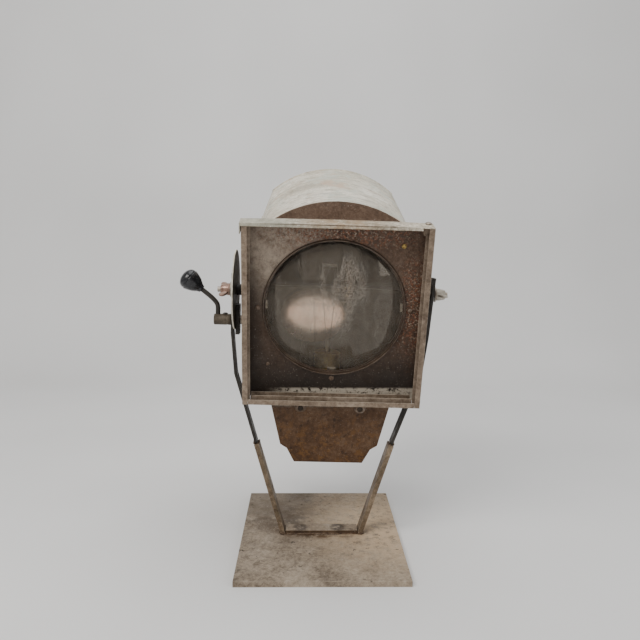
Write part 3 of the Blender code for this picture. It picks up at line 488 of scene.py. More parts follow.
def lid_look():
    """Cream lid: grey-green to the left, tan in the middle, chipped and stained."""
    p = Paint("lid_paint")
    broad = p.noise(32, 5, 0.7, offset=1.0)
    fine = p.noise(210, 5, 0.8, offset=2.0)
    colour = p.ramp(p.mottle(broad, fine, 0.5, 3.8), (0.08, (0.13, 0.105, 0.075)), (0.50, (0.42, 0.37, 0.29)),
                    (0.92, (0.74, 0.69, 0.59)))
    left = p.near(HEAD @ Vector((-95, -70, 120)), 0.010, 0.075, (1.0, 0.3, 0.3))
    colour = p.mix(p.times(left, 0.55), colour, (0.30, 0.31, 0.25))
    middle = p.near(HEAD @ Vector((5, -70, 120)), 0.010, 0.070, (1.0, 0.3, 0.3))
    tan = p.times(middle, p.mask(p.noise(60, 5, 0.7, offset=6.0), 0.36, 0.58))
    colour = p.mix(p.times(tan, 0.65), colour, (0.40, 0.28, 0.17))
    chips = p.mask(p.noise(95, 5, 0.8, offset=9.0), 0.61, 0.64)
    colour = p.mix(p.times(chips, 0.85), colour, (0.82, 0.79, 0.71))
    colour, rust_mask = p.wear(colour, (0.22, 0.11, 0.05), 0.15, 0.6)
    colour = p.mix(p.times(p.edges(0.0007), 0.6), colour, (0.20, 0.14, 0.09))
    normal = p.bump(p.sums("ADD", fine, rust_mask), 0.35, 0.0004)
    return p.done(colour, normal, p.ramp(p.noise(50, 4, 0.6, offset=9.0), (0.35, 0.42), (0.65, 0.72)))


def foot_bar_look():
    """Top like the floor plate with two dark smudges; the faces that do not look up much darker, with rust over
    all.
    """
    p = Paint("foot_bar_paint", metallic=0.1)
    fine = p.noise(200, 6, 0.85, offset=2.0)
    mixed = p.mottle(p.noise(26, 5, 0.7, offset=4.0), fine, 0.55, 4.0)
    top = p.ramp(mixed, (0.06, (0.120, 0.085, 0.055)), (0.50, (0.27, 0.21, 0.15)), (0.94, (0.42, 0.35, 0.27)))
    side = p.ramp(mixed, (0.06, (0.022, 0.012, 0.007)), (0.50, (0.075, 0.045, 0.025)), (0.94, (0.17, 0.11, 0.065)))
    # faces that do not look up take the much darker copy of the same mottle
    colour = p.mix(p.facing_up(), side, top)
    for x in (-30.0, 26.0):
        smudge = p.near(Vector((x * MM, 0.0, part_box("foot_bar")[1].z)), 0.006, 0.016, (1.0, 0.8, 0.5))
        broken = p.times(smudge, p.mask(p.noise(120, 5, 0.75, offset=x), 0.36, 0.52))
        colour = p.mix(p.times(broken, 0.85), colour, (0.030, 0.018, 0.011))
    colour, rust_mask = p.wear(colour, (0.20, 0.085, 0.030), 0.45, 0.9)
    normal = p.bump(p.sums("ADD", fine, rust_mask), 0.5, 0.0005)
    return p.done(colour, normal, p.ramp(p.noise(50, 4, 0.6, offset=9.0), (0.35, 0.5), (0.65, 0.8)))


def disc_look():
    """Dark olive face and a pale cream band round the edge: a painted highlight."""
    p = Paint("disc_paint")
    fine = p.noise(110, 5, 0.7)
    colour = p.ramp(fine, (0.35, (0.040, 0.036, 0.026)), (0.52, (0.075, 0.068, 0.050)),
                    (0.66, (0.135, 0.122, 0.092)))
    colour = p.wear(colour, (0.13, 0.06, 0.03), 0.1, 0.7)[0]
    # pale cream band round the edge of the disc: a painted highlight
    inside = p.near(PIVOT - TILT_AXIS * 0.1405, 0.0566, 0.0570, (0, 1, 1))
    rim = p.ramp(p.noise(90, 4, 0.6, offset=3.0), (0.4, (0.50, 0.47, 0.38)), (0.6, (0.72, 0.69, 0.60)))
    colour = p.mix(inside, rim, colour)
    normal = p.bump(fine, 0.3, 0.0003)
    return p.done(colour, normal, p.ramp(fine, (0.4, 0.4), (0.6, 0.65)))


def lens_look():
    """Thick old glass under a film of dust: wiped streaks, fine scratches and specks."""
    p = Paint("lens_glass", roughness=0.02)
    p.shader.inputs["IOR"].default_value = 1.5
    p.shader.inputs["Specular IOR Level"].default_value = 0.36
    p.shader.inputs["Specular Tint"].default_value = (1.0, 0.86, 0.70, 1.0)
    centre = HEAD @ Vector((0, -60, LENS_Z))
    smear = p.mask(p.noise(18, 6, 0.75, stretch=(2.4, 1.0, 0.55), warp=0.6, offset=2.0), 0.44, 0.66)
    grains = p.mask(p.noise(360, 4, 0.8, offset=5.0), 0.44, 0.58)
    cluster = p.near(centre + Vector((0.010, 0.0, 0.038)), 0.010, 0.055, (1.0, 0.2, 1.0))
    streak = p.near(centre + Vector((0.012, 0.0, 0.012)), 0.006, 0.070, (2.8, 0.2, 0.9))
    region = p.sums("MAXIMUM", p.sums("MAXIMUM", cluster, streak), 0.12)
    film = p.times(p.times(smear, grains), region)
    specks = p.mask(p.noise(540, 2, 0.5, offset=9.0), 0.67, 0.70)
    scratch = p.mask(p.noise(170, 3, 0.6, stretch=(3.0, 1.0, 0.4), warp=0.8, offset=12.0), 0.64, 0.68)
    dirt = p.sums("ADD", p.times(film, 0.62), p.times(specks, 0.30))
    dirt = p.sums("ADD", dirt, p.times(scratch, 0.16))
    dirt = p.sums("MINIMUM", p.sums("ADD", dirt, 0.012), 0.8)
    p.feed(p.shader.inputs["Transmission Weight"], p.inverse(dirt))
    dusty = p.mix(p.sums("MINIMUM", p.times(dirt, 3.0), 1.0), (0.95, 0.92, 0.86), (0.40, 0.31, 0.23))
    rough = p.sums("ADD", 0.015, p.times(dirt, 0.55))
    return p.done(dusty, None, rough)


def bulb_look():
    """Thin blown glass: clear face on, paler and greyer where it curves away."""
    p = Paint("bulb_glass", roughness=0.05)
    p.shader.inputs["IOR"].default_value = 1.46
    p.shader.inputs["Specular IOR Level"].default_value = 0.5
    haze = p.noise(60, 3, 0.6)
    facing = p.add("ShaderNodeLayerWeight")
    facing.inputs["Blend"].default_value = 0.5
    edge = p.mask(facing.outputs["Facing"], 0.35, 1.0)
    veil = p.sums("ADD", p.times(edge, 0.16), p.times(p.mask(haze, 0.4, 0.8), 0.02))
    p.feed(p.shader.inputs["Alpha"], p.sums("ADD", veil, 0.015))
    colour = p.ramp(haze, (0.4, (0.30, 0.28, 0.25)), (0.7, (0.22, 0.20, 0.17)))
    return p.done(colour, None, p.ramp(haze, (0.4, 0.04), (0.7, 0.12)))


def mirror_look():
    """Aged silvering that has gone pink and blotchy."""
    p = Paint("mirror_silver", metallic=1.0)
    cloud = p.noise(35, 5, 0.7)
    colour = p.ramp(cloud, (0.35, (0.80, 0.56, 0.46)), (0.55, (0.93, 0.74, 0.64)), (0.7, (0.96, 0.84, 0.76)))
    spots = p.mask(p.noise(230, 3, 0.6, offset=4.0), 0.66, 0.72)
    colour = p.mix(spots, colour, (0.35, 0.20, 0.13))
    return p.done(colour, p.bump(cloud, 0.05, 0.0005), p.ramp(cloud, (0.4, 0.14), (0.65, 0.28)))


def metal_look(name, tones, rough=(0.3, 0.6), scale=1.0, metallic=0.85, cover=0.1):
    """Tarnished bare metal with a little rust."""
    p = Paint(name, metallic=metallic)
    fine = p.noise(120 * scale, 5, 0.7)
    colour = p.ramp(fine, (0.35, tones[0]), (0.52, tones[1]), (0.66, tones[2]))
    colour = p.wear(colour, (0.20, 0.09, 0.045), cover, 0.5, scale)[0]
    normal = p.bump(fine, 0.3, 0.0003)
    return p.done(colour, normal, p.ramp(p.noise(70 * scale, 4, 0.6, offset=2.0), (0.4, rough[0]), (0.6, rough[1])))


def bakelite_look():
    """Glossy black moulding with faint swirl and specks of dust."""
    p = Paint("bakelite_black")
    p.shader.inputs["Coat Weight"].default_value = 0.4
    p.shader.inputs["Coat Roughness"].default_value = 0.08
    swirl = p.noise(60, 4, 0.6, warp=1.5)
    colour = p.ramp(swirl, (0.4, (0.006, 0.006, 0.008)), (0.6, (0.018, 0.019, 0.022)))
    dust = p.mask(p.noise(600, 2, 0.5, offset=3.0), 0.62, 0.72)
    colour = p.mix(p.times(dust, 0.3), colour, (0.16, 0.15, 0.13))
    return p.done(colour, p.bump(swirl, 0.05, 0.0003), p.ramp(p.noise(90, 3, 0.6), (0.4, 0.16), (0.65, 0.34)))


def ceramic_look():
    p = Paint("steatite_white")
    stain = p.noise(80, 4, 0.6)
    colour = p.ramp(stain, (0.4, (0.78, 0.74, 0.66)), (0.7, (0.50, 0.42, 0.33)))
    return p.done(colour, p.bump(stain, 0.1, 0.0002), p.ramp(stain, (0.4, 0.3), (0.6, 0.5)))


LOOKS = {
    "front": front_look(),
    "hood": hood_look(),
    "plate": plate_look(),
    "disc": disc_look(),
    "body": worn_paint("body_brown", ((0.032, 0.018, 0.011), (0.080, 0.048, 0.031), (0.140, 0.094, 0.066)),
                       (0.16, 0.06, 0.025), 0.25, 0.7, (0.30, 0.25, 0.20)),
    # near-black paint for the parts inside the housing: painted shade for its dark interior
    "inside": worn_paint("inside_painted_shade", ((0.012, 0.008, 0.005), (0.028, 0.019, 0.012), (0.055, 0.038, 0.025)),
                         (0.08, 0.035, 0.015), 0.1, 0.4),
    "runner": worn_paint("runner_brown", ((0.085, 0.058, 0.038), (0.195, 0.145, 0.104), (0.330, 0.265, 0.205)),
                         (0.15, 0.062, 0.028), 0.30, 1.0, (0.52, 0.45, 0.36), edge=0.0009, dusty=0.9),
    "khaki": worn_paint("leg_khaki", ((0.055, 0.038, 0.022), (0.145, 0.104, 0.066), (0.310, 0.240, 0.165)),
                        (0.13, 0.055, 0.022), 0.55, 0.9, (0.45, 0.37, 0.27), relief=0.8),
    "bezel": worn_paint("bezel_brown", ((0.024, 0.014, 0.009), (0.055, 0.034, 0.022), (0.105, 0.072, 0.050)),
                        (0.12, 0.05, 0.022), 0.15, 0.6, (0.42, 0.36, 0.29), edge=0.0006),
    "nose_fixing": metal_look("fixing_rusty", ((0.085, 0.055, 0.036), (0.155, 0.11, 0.08), (0.26, 0.21, 0.17)),
                              metallic=0.4, cover=0.3),
    "lid": lid_look(),
    "foot_bar": foot_bar_look(),
    "black": worn_paint("arm_black", ((0.012, 0.010, 0.008), (0.024, 0.020, 0.016), (0.050, 0.042, 0.034)),
                        (0.09, 0.045, 0.022), 0.05, 0.6, (0.10, 0.08, 0.06), rough=(0.35, 0.6)),
    "boss": worn_paint("boss_brown", ((0.036, 0.028, 0.019), (0.078, 0.062, 0.044), (0.135, 0.110, 0.080)),
                       (0.15, 0.07, 0.03), 0.3, 0.7, (0.30, 0.26, 0.20), metallic=0.3),
    "steel": metal_look("steel_tarnished", ((0.20, 0.17, 0.14), (0.36, 0.31, 0.26), (0.50, 0.45, 0.39))),
    "nut_pink": metal_look("nut_rusty_pink", ((0.17, 0.10, 0.075), (0.32, 0.21, 0.165), (0.46, 0.35, 0.29)),
                           metallic=0.5, cover=0.4),
    "nut_pale": metal_look("nut_pale", ((0.26, 0.23, 0.19), (0.42, 0.38, 0.32), (0.56, 0.52, 0.45)), metallic=0.5),
    "brass": metal_look("brass_dull", ((0.30, 0.20, 0.07), (0.50, 0.36, 0.13), (0.66, 0.52, 0.24)), cover=-0.1),
    "bakelite": bakelite_look(),
    "ceramic": ceramic_look(),
    "lens": lens_look(),
    "bulb": bulb_look(),
    "mirror": mirror_look(),
    "bead": metal_look("weld_bead", ((0.050, 0.032, 0.022), (0.115, 0.075, 0.048), (0.20, 0.145, 0.10)),
                       metallic=0.4, cover=0.5, scale=1.6),
}

NODE_LOOKS = {
    "front_plate": "front", "hood": "hood", "base_plate": "plate", "foot_bar": "foot_bar",
    "lower_leg_left": "khaki", "lower_leg_right": "khaki", "yoke_arm_left": "black", "yoke_arm_right": "black",
    "tilt_disc": "disc", "filter_flap": "lid",
    "filter_runner_left": "runner", "filter_runner_right": "runner", "filter_runner_bottom": "runner",
    "flap_lug": "runner", "clamp_jaw": "black", "disc_spacer_left": "black", "disc_spacer_right": "black",
    "cable_gland": "bakelite", "lever_boss": "boss", "lever_rod": "black", "lever_knob": "bakelite",
    "focus_knob": "bakelite", "lamp_socket": "ceramic", "bulb": "bulb", "bulb_cap": "brass",
    "mirror": "mirror", "door_thumbscrew": "brass", "wing_nut_left": "nut_pink", "wing_nut_right": "nut_pale",
    "lens": "lens", "lens_bezel": "bezel", "side_panel_left": "body", "side_panel_right": "body",
    "floor_sheet": "inside", "rear_plate": "body", "rear_door": "body", "mirror_bracket": "inside",
    "lamp_carriage": "inside", "guide_rod_left": "inside", "guide_rod_right": "inside",
}


def dress_nodes():
    """Give each CAD node its material, fine rounded edges and clean shading."""
    for name, node in NODES.items():
        node.data.materials.clear()
        node.data.materials.append(LOOKS[NODE_LOOKS.get(name, "steel")])
        node.data.shade_smooth()
        weld = node.modifiers.new("weld", "WELD")
        weld.merge_threshold = 1e-5
        low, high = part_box(name)
        thin = min(high - low)
        bevel = node.modifiers.new("edge", "BEVEL")
        bevel.width = min(0.0004, thin * 0.12)
        bevel.segments = 2
        bevel.limit_method = "ANGLE"
        bevel.angle_limit = math.radians(40)
        bevel.harden_normals = False
        weighted = node.modifiers.new("shading", "WEIGHTED_NORMAL")
        weighted.keep_sharp = True


# ---------------------------------------------------------------- fine pieces

def along_y(x, y, z):
    """Head frame place whose local Z runs forward, towards -Y."""
    return HEAD @ Matrix.Translation((x, y, z)) @ Matrix.Rotation(math.pi / 2, 4, "X")


def build_lens():
    """The plano-convex glass, turned finely."""
    face_r, sag, rim = 94.7, 24.5, 96.9
    curve = (face_r ** 2 + sag ** 2) / (2 * sag)
    profile = []
    for i in range(33):
        radius = face_r * i / 32
        profile.append((radius, 48.5 + math.sqrt(curve ** 2 - radius ** 2) - (curve - sag)))
    profile += [(rim - 0.4, 48.5), (rim, 48.1), (rim, 42.4), (rim - 0.4, 42.0), (0, 42.0)]
    bm = lathe(profile, 128)
    place = HEAD @ Matrix.Translation((0, 0, LENS_Z)) @ Matrix.Rotation(math.pi / 2, 4, "X")
    finish_mesh("lens_fine", bm, place, LOOKS["lens"], "head", ("lens",), 20)
    ring = rounded([(97.4, 57.9), (98.9, 57.9), (98.9, 40)], 0.7) + [(97.4, 40), (97.4, 48.2), (95.0, 48.8),
                                                                    (95.0, 50.0), (97.4, 50.2)]
    bm = lathe(ring, 128, closed=True)
    finish_mesh("lens_bezel_fine", bm, place, LOOKS["bezel"], "head", ("lens_bezel",), 50)


def slotted_screw(name, place, radius, height, look, body, replaced=(), slot_width=1.2):
    """A domed screw head with a cut slot."""
    bm = bmesh.new()
    rings, sides = 7, 32
    grid = []
    for i in range(rings + 1):
        t = i / rings
        r = radius * math.sin(t * math.pi / 2)
        ring = []
        for k in range(1 if i == 0 else sides):
            angle = 2 * math.pi * k / sides
            x, y = r * math.cos(angle), r * math.sin(angle)
            z = height * math.cos(t * math.pi / 2) ** 0.7 if i < rings else 0.0
            if abs(y) < slot_width / 2 + 0.05 and i < rings:
                z -= 0.45 * height
            ring.append(bm.verts.new((x, y, max(z, 0.0))))
        grid.append(ring)
    for low, high in zip(grid, grid[1:]):
        for k in range(sides):
            j = (k + 1) % sides
            corners = [low[k % len(low)], low[j % len(low)], high[j % len(high)], high[k % len(high)]]
            bm.faces.new(list(dict.fromkeys(corners)))
    base = bm.verts.new((0, 0, -0.3))
    for k in range(sides):
        bm.faces.new((grid[-1][(k + 1) % sides], grid[-1][k], base))
    return finish_mesh(name, bm, place, look, body, replaced, 50)


def build_front_screws():
    """Lens screws and two odd small screws in the corners."""
    front = -55.0
    for name, x, z, turn in (("left", -105, LENS_Z, 0.3), ("right", 105, LENS_Z, 1.0), ("bottom", 0, -111, 2.0)):
        place = along_y(x, front, z) @ Matrix.Rotation(turn, 4, "Z")
        slotted_screw("lens_screw_head_" + name, place, 3.6, 2.0, LOOKS["nose_fixing"], "head",
                      ("lens_screw_" + name,))
    slotted_screw("corner_screw_brass", along_y(90, front, 86) @ Matrix.Rotation(0.6, 4, "Z"), 3.4, 2.0,
                  LOOKS["brass"], "head")
    slotted_screw("corner_screw_low", along_y(-91, front, -91), 2.8, 1.5, LOOKS["nose_fixing"], "head")


def build_knob():
    """Bell knob in black bakelite with a turned groove below its domed cap."""
    root, tip = Vector((-188.7, 0, 42.5)), Vector((-197.5, 0, 49.1))
    along = (tip - root).normalized()
    base = tip - along * 11
    profile = [(3.8, 0), (4.9, 0), (5.4, 0.6), (6.4, 3.5), (8.8, 6.8), (11.2, 10.5), (13.4, 15.5), (14.9, 20),
               (15.4, 22.2), (15.3, 22.8), (14.6, 23.3), (14.4, 23.7), (14.8, 24.2), (15.0, 24.8), (14.6, 26.6),
               (13.6, 29.0), (11.4, 31.4), (7.4, 33.7), (3.2, 34.7), (0, 34.95)]
    bm = lathe(rounded(profile, 0.5, 2), 72)
    bm = close_bottom(bm, 72)
    finish_mesh("lever_knob_fine", bm, LEVER @ turn_to(along, base), LOOKS["bakelite"], "lever",
                ("lever_knob",), 60)


def close_bottom(bm, sides):
    """Cap the first ring of a turned piece."""
    bm.verts.ensure_lookup_table()
    bm.faces.new(bm.verts[0:sides])
    return bm


def build_lever():
    """Bent rod and turned boss with its set screw and groove."""
    points = [(-165.6, 0, 1.7), (-165.6, 0, 10), (-165.7, 0, 17.0), (-166.7, 0, 21.7), (-169.2, 0, 25.6),
              (-173.3, 0, 30.0), (-178.4, 0, 34.4), (-188.7, 0, 42.4), (-197.2, 0, 48.8)]
    bm = tube(curve_points(points, 5), 3.4, 20)
    finish_mesh("lever_rod_fine", bm, LEVER, LOOKS["black"], "lever", ("lever_rod",), 60)
    profile = [(4.4, 0), (7.4, 0), (8.0, 0.6), (8.0, 5.0), (7.6, 5.3), (7.6, 6.1), (8.0, 6.4), (8.0, 23.8),
               (7.2, 24.7), (0, 24.7)]
    place = LEVER @ Matrix.Translation((-146.3, 0, 0)) @ Matrix.Rotation(-math.pi / 2, 4, "Y")
    bm = lathe(profile, 56)
    bm = close_bottom(bm, 56)
    finish_mesh("lever_boss_fine", bm, place, LOOKS["boss"], "lever", ("lever_boss",), 50)
    screw = LEVER @ Matrix.Translation((-155.0, 0, 7.5))
    slotted_screw("lever_set_screw", screw, 3.9, 2.6, LOOKS["black"], "lever")


def build_wing_nuts():
    """Forged wing nuts: a tapered hub and two round ears, smoothed by subdivision."""
    for sign, name, turn, look in ((-1, "left", 190, "nut_pink"), (1, "right", 170, "nut_pale")):
        place = HEAD @ Matrix.Translation((sign * 148.3, 0, 0)) @ Matrix.Rotation(math.radians(turn), 4, "X")
        place = place @ Matrix.Rotation(sign * math.pi / 2, 4, "Y")
        bm = lathe(rounded([(4.4, 0), (8.9, 0), (8.5, 5), (7.4, 10), (6.4, 13.6), (4.4, 13.8)], 1.2), 40,
                   closed=True)
        finish_mesh("wing_nut_fine_" + name, bm, place, LOOKS[look], "wing_" + name,
                    ("wing_nut_" + name,), 50)
        for flip in (-1, 1):
            ear = bmesh.new()
            outline = [(5.6, 1.4), (9.5, 2.2), (14.5, 4.2), (18.4, 7.0), (19.5, 10.5), (18.6, 13.8), (16.0, 15.4),
                       (13.0, 14.2), (10.4, 10.6), (7.6, 9.0), (5.6, 9.0)]
            layers = []
            for depth, shrink in ((-1.9, 0.80), (-1.5, 0.95), (0.0, 1.0), (1.5, 0.95), (1.9, 0.80)):
                middle = Vector((12.5, 8.5))
                layer = []
                for a, b in outline:
                    spot = middle + (Vector((a, b)) - middle) * shrink
                    layer.append(ear.verts.new((depth, flip * spot.x, spot.y)))
                layers.append(layer)
            for low, high in zip(layers, layers[1:]):
                for i in range(len(outline)):
                    j = (i + 1) % len(outline)
                    ear.faces.new((low[i], low[j], high[j], high[i]))
            ear.faces.new(layers[0])
            ear.faces.new(layers[-1])
            side = "a" if flip < 0 else "b"
            piece = finish_mesh(f"wing_nut_ear_{name}_{side}", ear, place, LOOKS[look], "wing_" + name,
                                (), 70)
            soft = piece.modifiers.new("soft", "SUBSURF")
            soft.levels = soft.render_levels = 2


def build_bolts():
    """Threaded bolt ends: fine ridges on each pivot bolt."""
    for sign, name, end in ((-1, "left", 166.0), (1, "right", 164.5)):
        profile = []
        start, pitch = 152.0, 1.25
        turns = int((end - start) / pitch)
        for i in range(turns):
            at = start + i * pitch
            profile += [(3.45, at), (3.95, at + pitch * 0.5)]
        profile = [(0, start)] + profile + [(3.3, end), (0, end + 0.4)]
        place = HEAD @ Matrix.Rotation(sign * math.pi / 2, 4, "Y")
        bm = lathe(profile, 32)
        finish_mesh("bolt_thread_" + name, bm, place, LOOKS["steel"], "head", (), 60)


def bead(name, start, end, radius, look, body, seed, place=Matrix.Identity(4), steps=26):
    """A lumpy weld bead from start to end, thicker in the middle."""
    a, b = Vector(start), Vector(end)
    chooser = random.Random(seed)
    points = []
    for i in range(steps + 1):
        t = i / steps
        jitter = Vector([chooser.uniform(-0.25, 0.25) * radius for _ in range(3)])
        points.append(a.lerp(b, t) + jitter)
    bm = tube(points, radius, 12, taper=lambda t: 0.35 + 0.65 * math.sin(math.pi * min(max(t, 0.02), 0.98)) ** 0.4,
              wobble=0.16, seed=seed)
    piece = finish_mesh(name, bm, place @ Matrix.Scale(MM, 4), look, body, (), 80)
    soft = piece.modifiers.new("soft", "SUBSURF")
    soft.levels = soft.render_levels = 1
    return piece


def build_welds():
    """Beads round the feet of the lower bars and across the laps to the upper bars."""
    for side, sign in (("left", -1), ("right", 1)):
        low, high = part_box("lower_leg_" + side)
        inner_foot = (low.x if sign > 0 else high.x) / MM
        outer_foot = inner_foot + sign * 7.6
        top = low.z / MM
        depth = high.y / MM - 1.0
        bead(f"weld_foot_in_{side}", (inner_foot, -depth, top + 0.9), (inner_foot, depth, top + 0.9), 2.0,
             LOOKS["bead"], "stand", 11 + sign)
        bead(f"weld_foot_out_{side}", (outer_foot, -depth, top + 0.9), (outer_foot, depth, top + 0.9), 2.0,
             LOOKS["bead"], "stand", 21 + sign)
        bead(f"weld_foot_front_{side}", (inner_foot, -depth - 1.0, top + 0.9),
             (outer_foot, -depth - 1.0, top + 0.9), 1.9, LOOKS["bead"], "stand", 31 + sign, steps=12)
        arm_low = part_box("yoke_arm_" + side)[0]
        lap_z = arm_low.z / MM - 0.4
        lap_x = ((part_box("yoke_arm_" + side)[1].x if sign < 0 else arm_low.x)) / MM
        for flank, shift in (("in", -2.0), ("out", 5.0)):
            x = lap_x + sign * shift
            bead(f"weld_lap_{flank}_{side}", (x, -9.5, lap_z), (x, 9.5, lap_z), 1.7, LOOKS["bead"], "stand",
                 41 + sign + int(shift), steps=18)
    bar_low, bar_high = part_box("foot_bar")
    for y, name in ((bar_low.y, "front"), (bar_high.y, "back")):
        bead("weld_bar_" + name, (bar_low.x / MM + 2, y / MM, bar_low.z / MM + 0.6),
             (bar_high.x / MM - 2, y / MM, bar_low.z / MM + 0.6), 1.5, LOOKS["bead"], "stand", 71, steps=60)


def build_hood_trim():
    """Rolled hems at the hood's two ends and rivets along its skirts."""
    shoulder = math.degrees(math.acos(98.0 / 147.5))
    for name, y, radius in (("rear", 197.6, 1.5), ("front", -52.0, 1.1)):
        points = []
        count = 72
        for i in range(count + 1):
            angle = math.radians(shoulder + (180 - 2 * shoulder) * i / count)
            points.append((147.3 * math.cos(angle), y, LENS_Z + 147.3 * math.sin(angle)))
        bm = tube(points, radius, 10)
        finish_mesh("hood_hem_" + name, bm, HEAD, LOOKS["hood"], "head", (), 60)
    for sign, side in ((-1, "left"), (1, "right")):
        bm = bmesh.new()
        tilt = math.atan2(17.5, 47.0)
        out = Vector((sign * math.cos(tilt), 0, math.sin(tilt)))
        for i in range(7):
            y = -38 + 36.5 * i
            spot = Vector((sign * 113.4, y, 63.5)) + out * 0.2
            rivet_head(bm, turn_to(out, spot), 2.6, 1.3)
        finish_mesh("skirt_rivets_" + side, bm, HEAD, LOOKS["hood"], "head", (), 60)


def rivet_head(bm, place, radius, height, sides=20):
    profile = []
    for i in range(6):
        t = i / 5 * math.pi / 2
        profile.append((radius * math.cos(t) if i < 5 else 0, height * math.sin(t)))
    lathe([(0, -0.4), (radius, -0.4)] + profile, sides, place, bm)


def build_rear_louvres():
    """Pressed louvre hoods on the rear door."""
    for row in range(4):
        z = 62 - 22 * row
        bm = bmesh.new()
        rings = []
        width, sides = 58.0, 10
        for i in range(29):
            x = -width + 2 * width * i / 28
            ends = min(1.0, (width - abs(x)) / 8.0)
            swell = math.sqrt(max(0.0, 1 - (1 - ends) ** 2)) if ends < 1 else 1.0
            ring = []
            for k in range(sides + 1):
                angle = math.pi / 2 * k / sides
                ring.append(bm.verts.new((x - 2, 202.7 + 6.5 * swell * math.sin(angle),
                                          z + 9 * math.cos(angle))))
            for k in range(sides, -1, -1):
                angle = math.pi / 2 * k / sides
                ring.append(bm.verts.new((x - 2, 202.6 + 5.6 * swell * math.sin(angle),
                                          z + 7.9 * math.cos(angle))))
            rings.append(ring)
        for low, high in zip(rings, rings[1:]):
            for k in range(len(low)):
                j = (k + 1) % len(low)
                bm.faces.new((low[k], low[j], high[j], high[k]))
        bm.faces.new(rings[0])
        bm.faces.new(rings[-1])
        finish_mesh(f"door_louvre_{row}", bm, HEAD, LOOKS["body"], "door", (), 50)


def build_fluted(name, place, profile, look, body, replaced, flutes, depth, rows):
    """A turned knob whose rim is fluted between two profile rows."""
    sides = flutes * 6
    bm = bmesh.new()
    rings = []
    for row, (radius, along) in enumerate(profile):
        count = 1 if radius < 1e-6 else sides
        ring = []
        for i in range(count):
            angle = 2 * math.pi * i / sides
            cut = depth * (0.5 - 0.5 * math.cos(angle * flutes)) if rows[0] <= row <= rows[1] else 0
            ring.append(bm.verts.new(((radius - cut) * math.cos(angle), (radius - cut) * math.sin(angle), along)))
        rings.append(ring)
    for low, high in zip(rings, rings[1:]):
        for i in range(sides):
            j = (i + 1) % sides
            corners = [low[i % len(low)], low[j % len(low)], high[j % len(high)], high[i % len(high)]]
            if len(set(corners)) > 2:
                bm.faces.new(list(dict.fromkeys(corners)))
    if len(rings[0]) > 1:
        bm.faces.new(rings[0])
    return finish_mesh(name, bm, place, look, body, replaced, 40)


def build_rear_fittings():
    """Fluted focus knob, knurled thumbscrew and ribbed cable gland."""
    place = HEAD @ Matrix.Translation((0, 201, GUIDE_Z)) @ Matrix.Rotation(-math.pi / 2, 4, "X")
    knob = [(4.6, 1.0), (8.8, 1.0), (9.0, 1.4), (9.0, 4.8), (14.6, 6.2), (15.7, 7.4), (16.0, 9.0), (16.0, 18.6),
            (15.4, 20.6), (13.6, 21.8), (11.0, 22.0), (10.0, 21.4), (0, 21.2)]
    build_fluted("focus_knob_fine", place, knob, LOOKS["bakelite"], "focus_drive", ("focus_knob",),
                 18, 0.9, (5, 8))
    place = HEAD @ Matrix.Translation((84, 203.1, 2)) @ Matrix.Rotation(-math.pi / 2, 4, "X")
    screw = [(2.0, -4.8), (2.0, 0), (8.8, 0), (9.4, 0.7), (9.5, 1.2), (9.5, 6.8), (9.0, 7.6), (7.6, 8.0), (0, 8.0)]
    build_fluted("thumbscrew_fine", place, screw, LOOKS["brass"], "thumbscrew", ("door_thumbscrew",),
                 30, 0.4, (4, 5))
    place = HEAD @ Matrix.Translation((36, 201.3, GUIDE_Z - 34)) @ Matrix.Rotation(-math.pi / 2, 4, "X")
    gland = [(4.2, 0), (10.6, 0), (11.0, 0.5), (11.0, 5.6), (10.4, 6.2), (8.7, 7.0)]
    for i in range(5):
        gland += [(8.5 - 0.2 * i, 7.6 + 2 * i), (7.9 - 0.2 * i, 8.3 + 2 * i), (8.4 - 0.2 * i, 9.0 + 2 * i)]
    gland += [(7.2, 17.8), (4.4, 17.8), (4.2, 17.0)]
    finish_mesh("cable_gland_fine", lathe(gland, 48, closed=True), place, LOOKS["bakelite"], "head",
                ("cable_gland",), 50)


def build_guide_nuts():
    """Hexagon nuts on round washers at the front ends of the guide rods."""
    for sign, side in ((-1, "left"), (1, "right")):
        place = along_y(sign * 43, -55.3, GUIDE_Z)
        bm = lathe(rounded([(3.9, 0), (8.6, 0), (8.6, 1.0), (3.9, 1.2)], 0.3), 48, closed=True)
        finish_mesh("guide_washer_" + side, bm, place, LOOKS["nose_fixing"], "head",
                    ("guide_nut_" + side,), 50)
        bm = bmesh.new()
        rings = []
        for along, size in ((1.2, 6.4), (1.6, 7.0), (4.4, 7.0), (5.1, 6.1), (5.1, 4.2)):
            ring = []
            for i in range(48):
                angle = 2 * math.pi * i / 48
                hexagon = math.cos(math.pi / 6) / math.cos((angle % (math.pi / 3)) - math.pi / 6)
                reach = size if along < 1.5 or along > 5 else min(size * hexagon, size)
                ring.append(bm.verts.new((reach * math.cos(angle), reach * math.sin(angle), along)))
            rings.append(ring)
        for low, high in zip(rings, rings[1:]):
            for i in range(48):
                j = (i + 1) % 48
                bm.faces.new((low[i], low[j], high[j], high[i]))
        finish_mesh("guide_hex_" + side, bm, place, LOOKS["nose_fixing"], "head", (), 35)


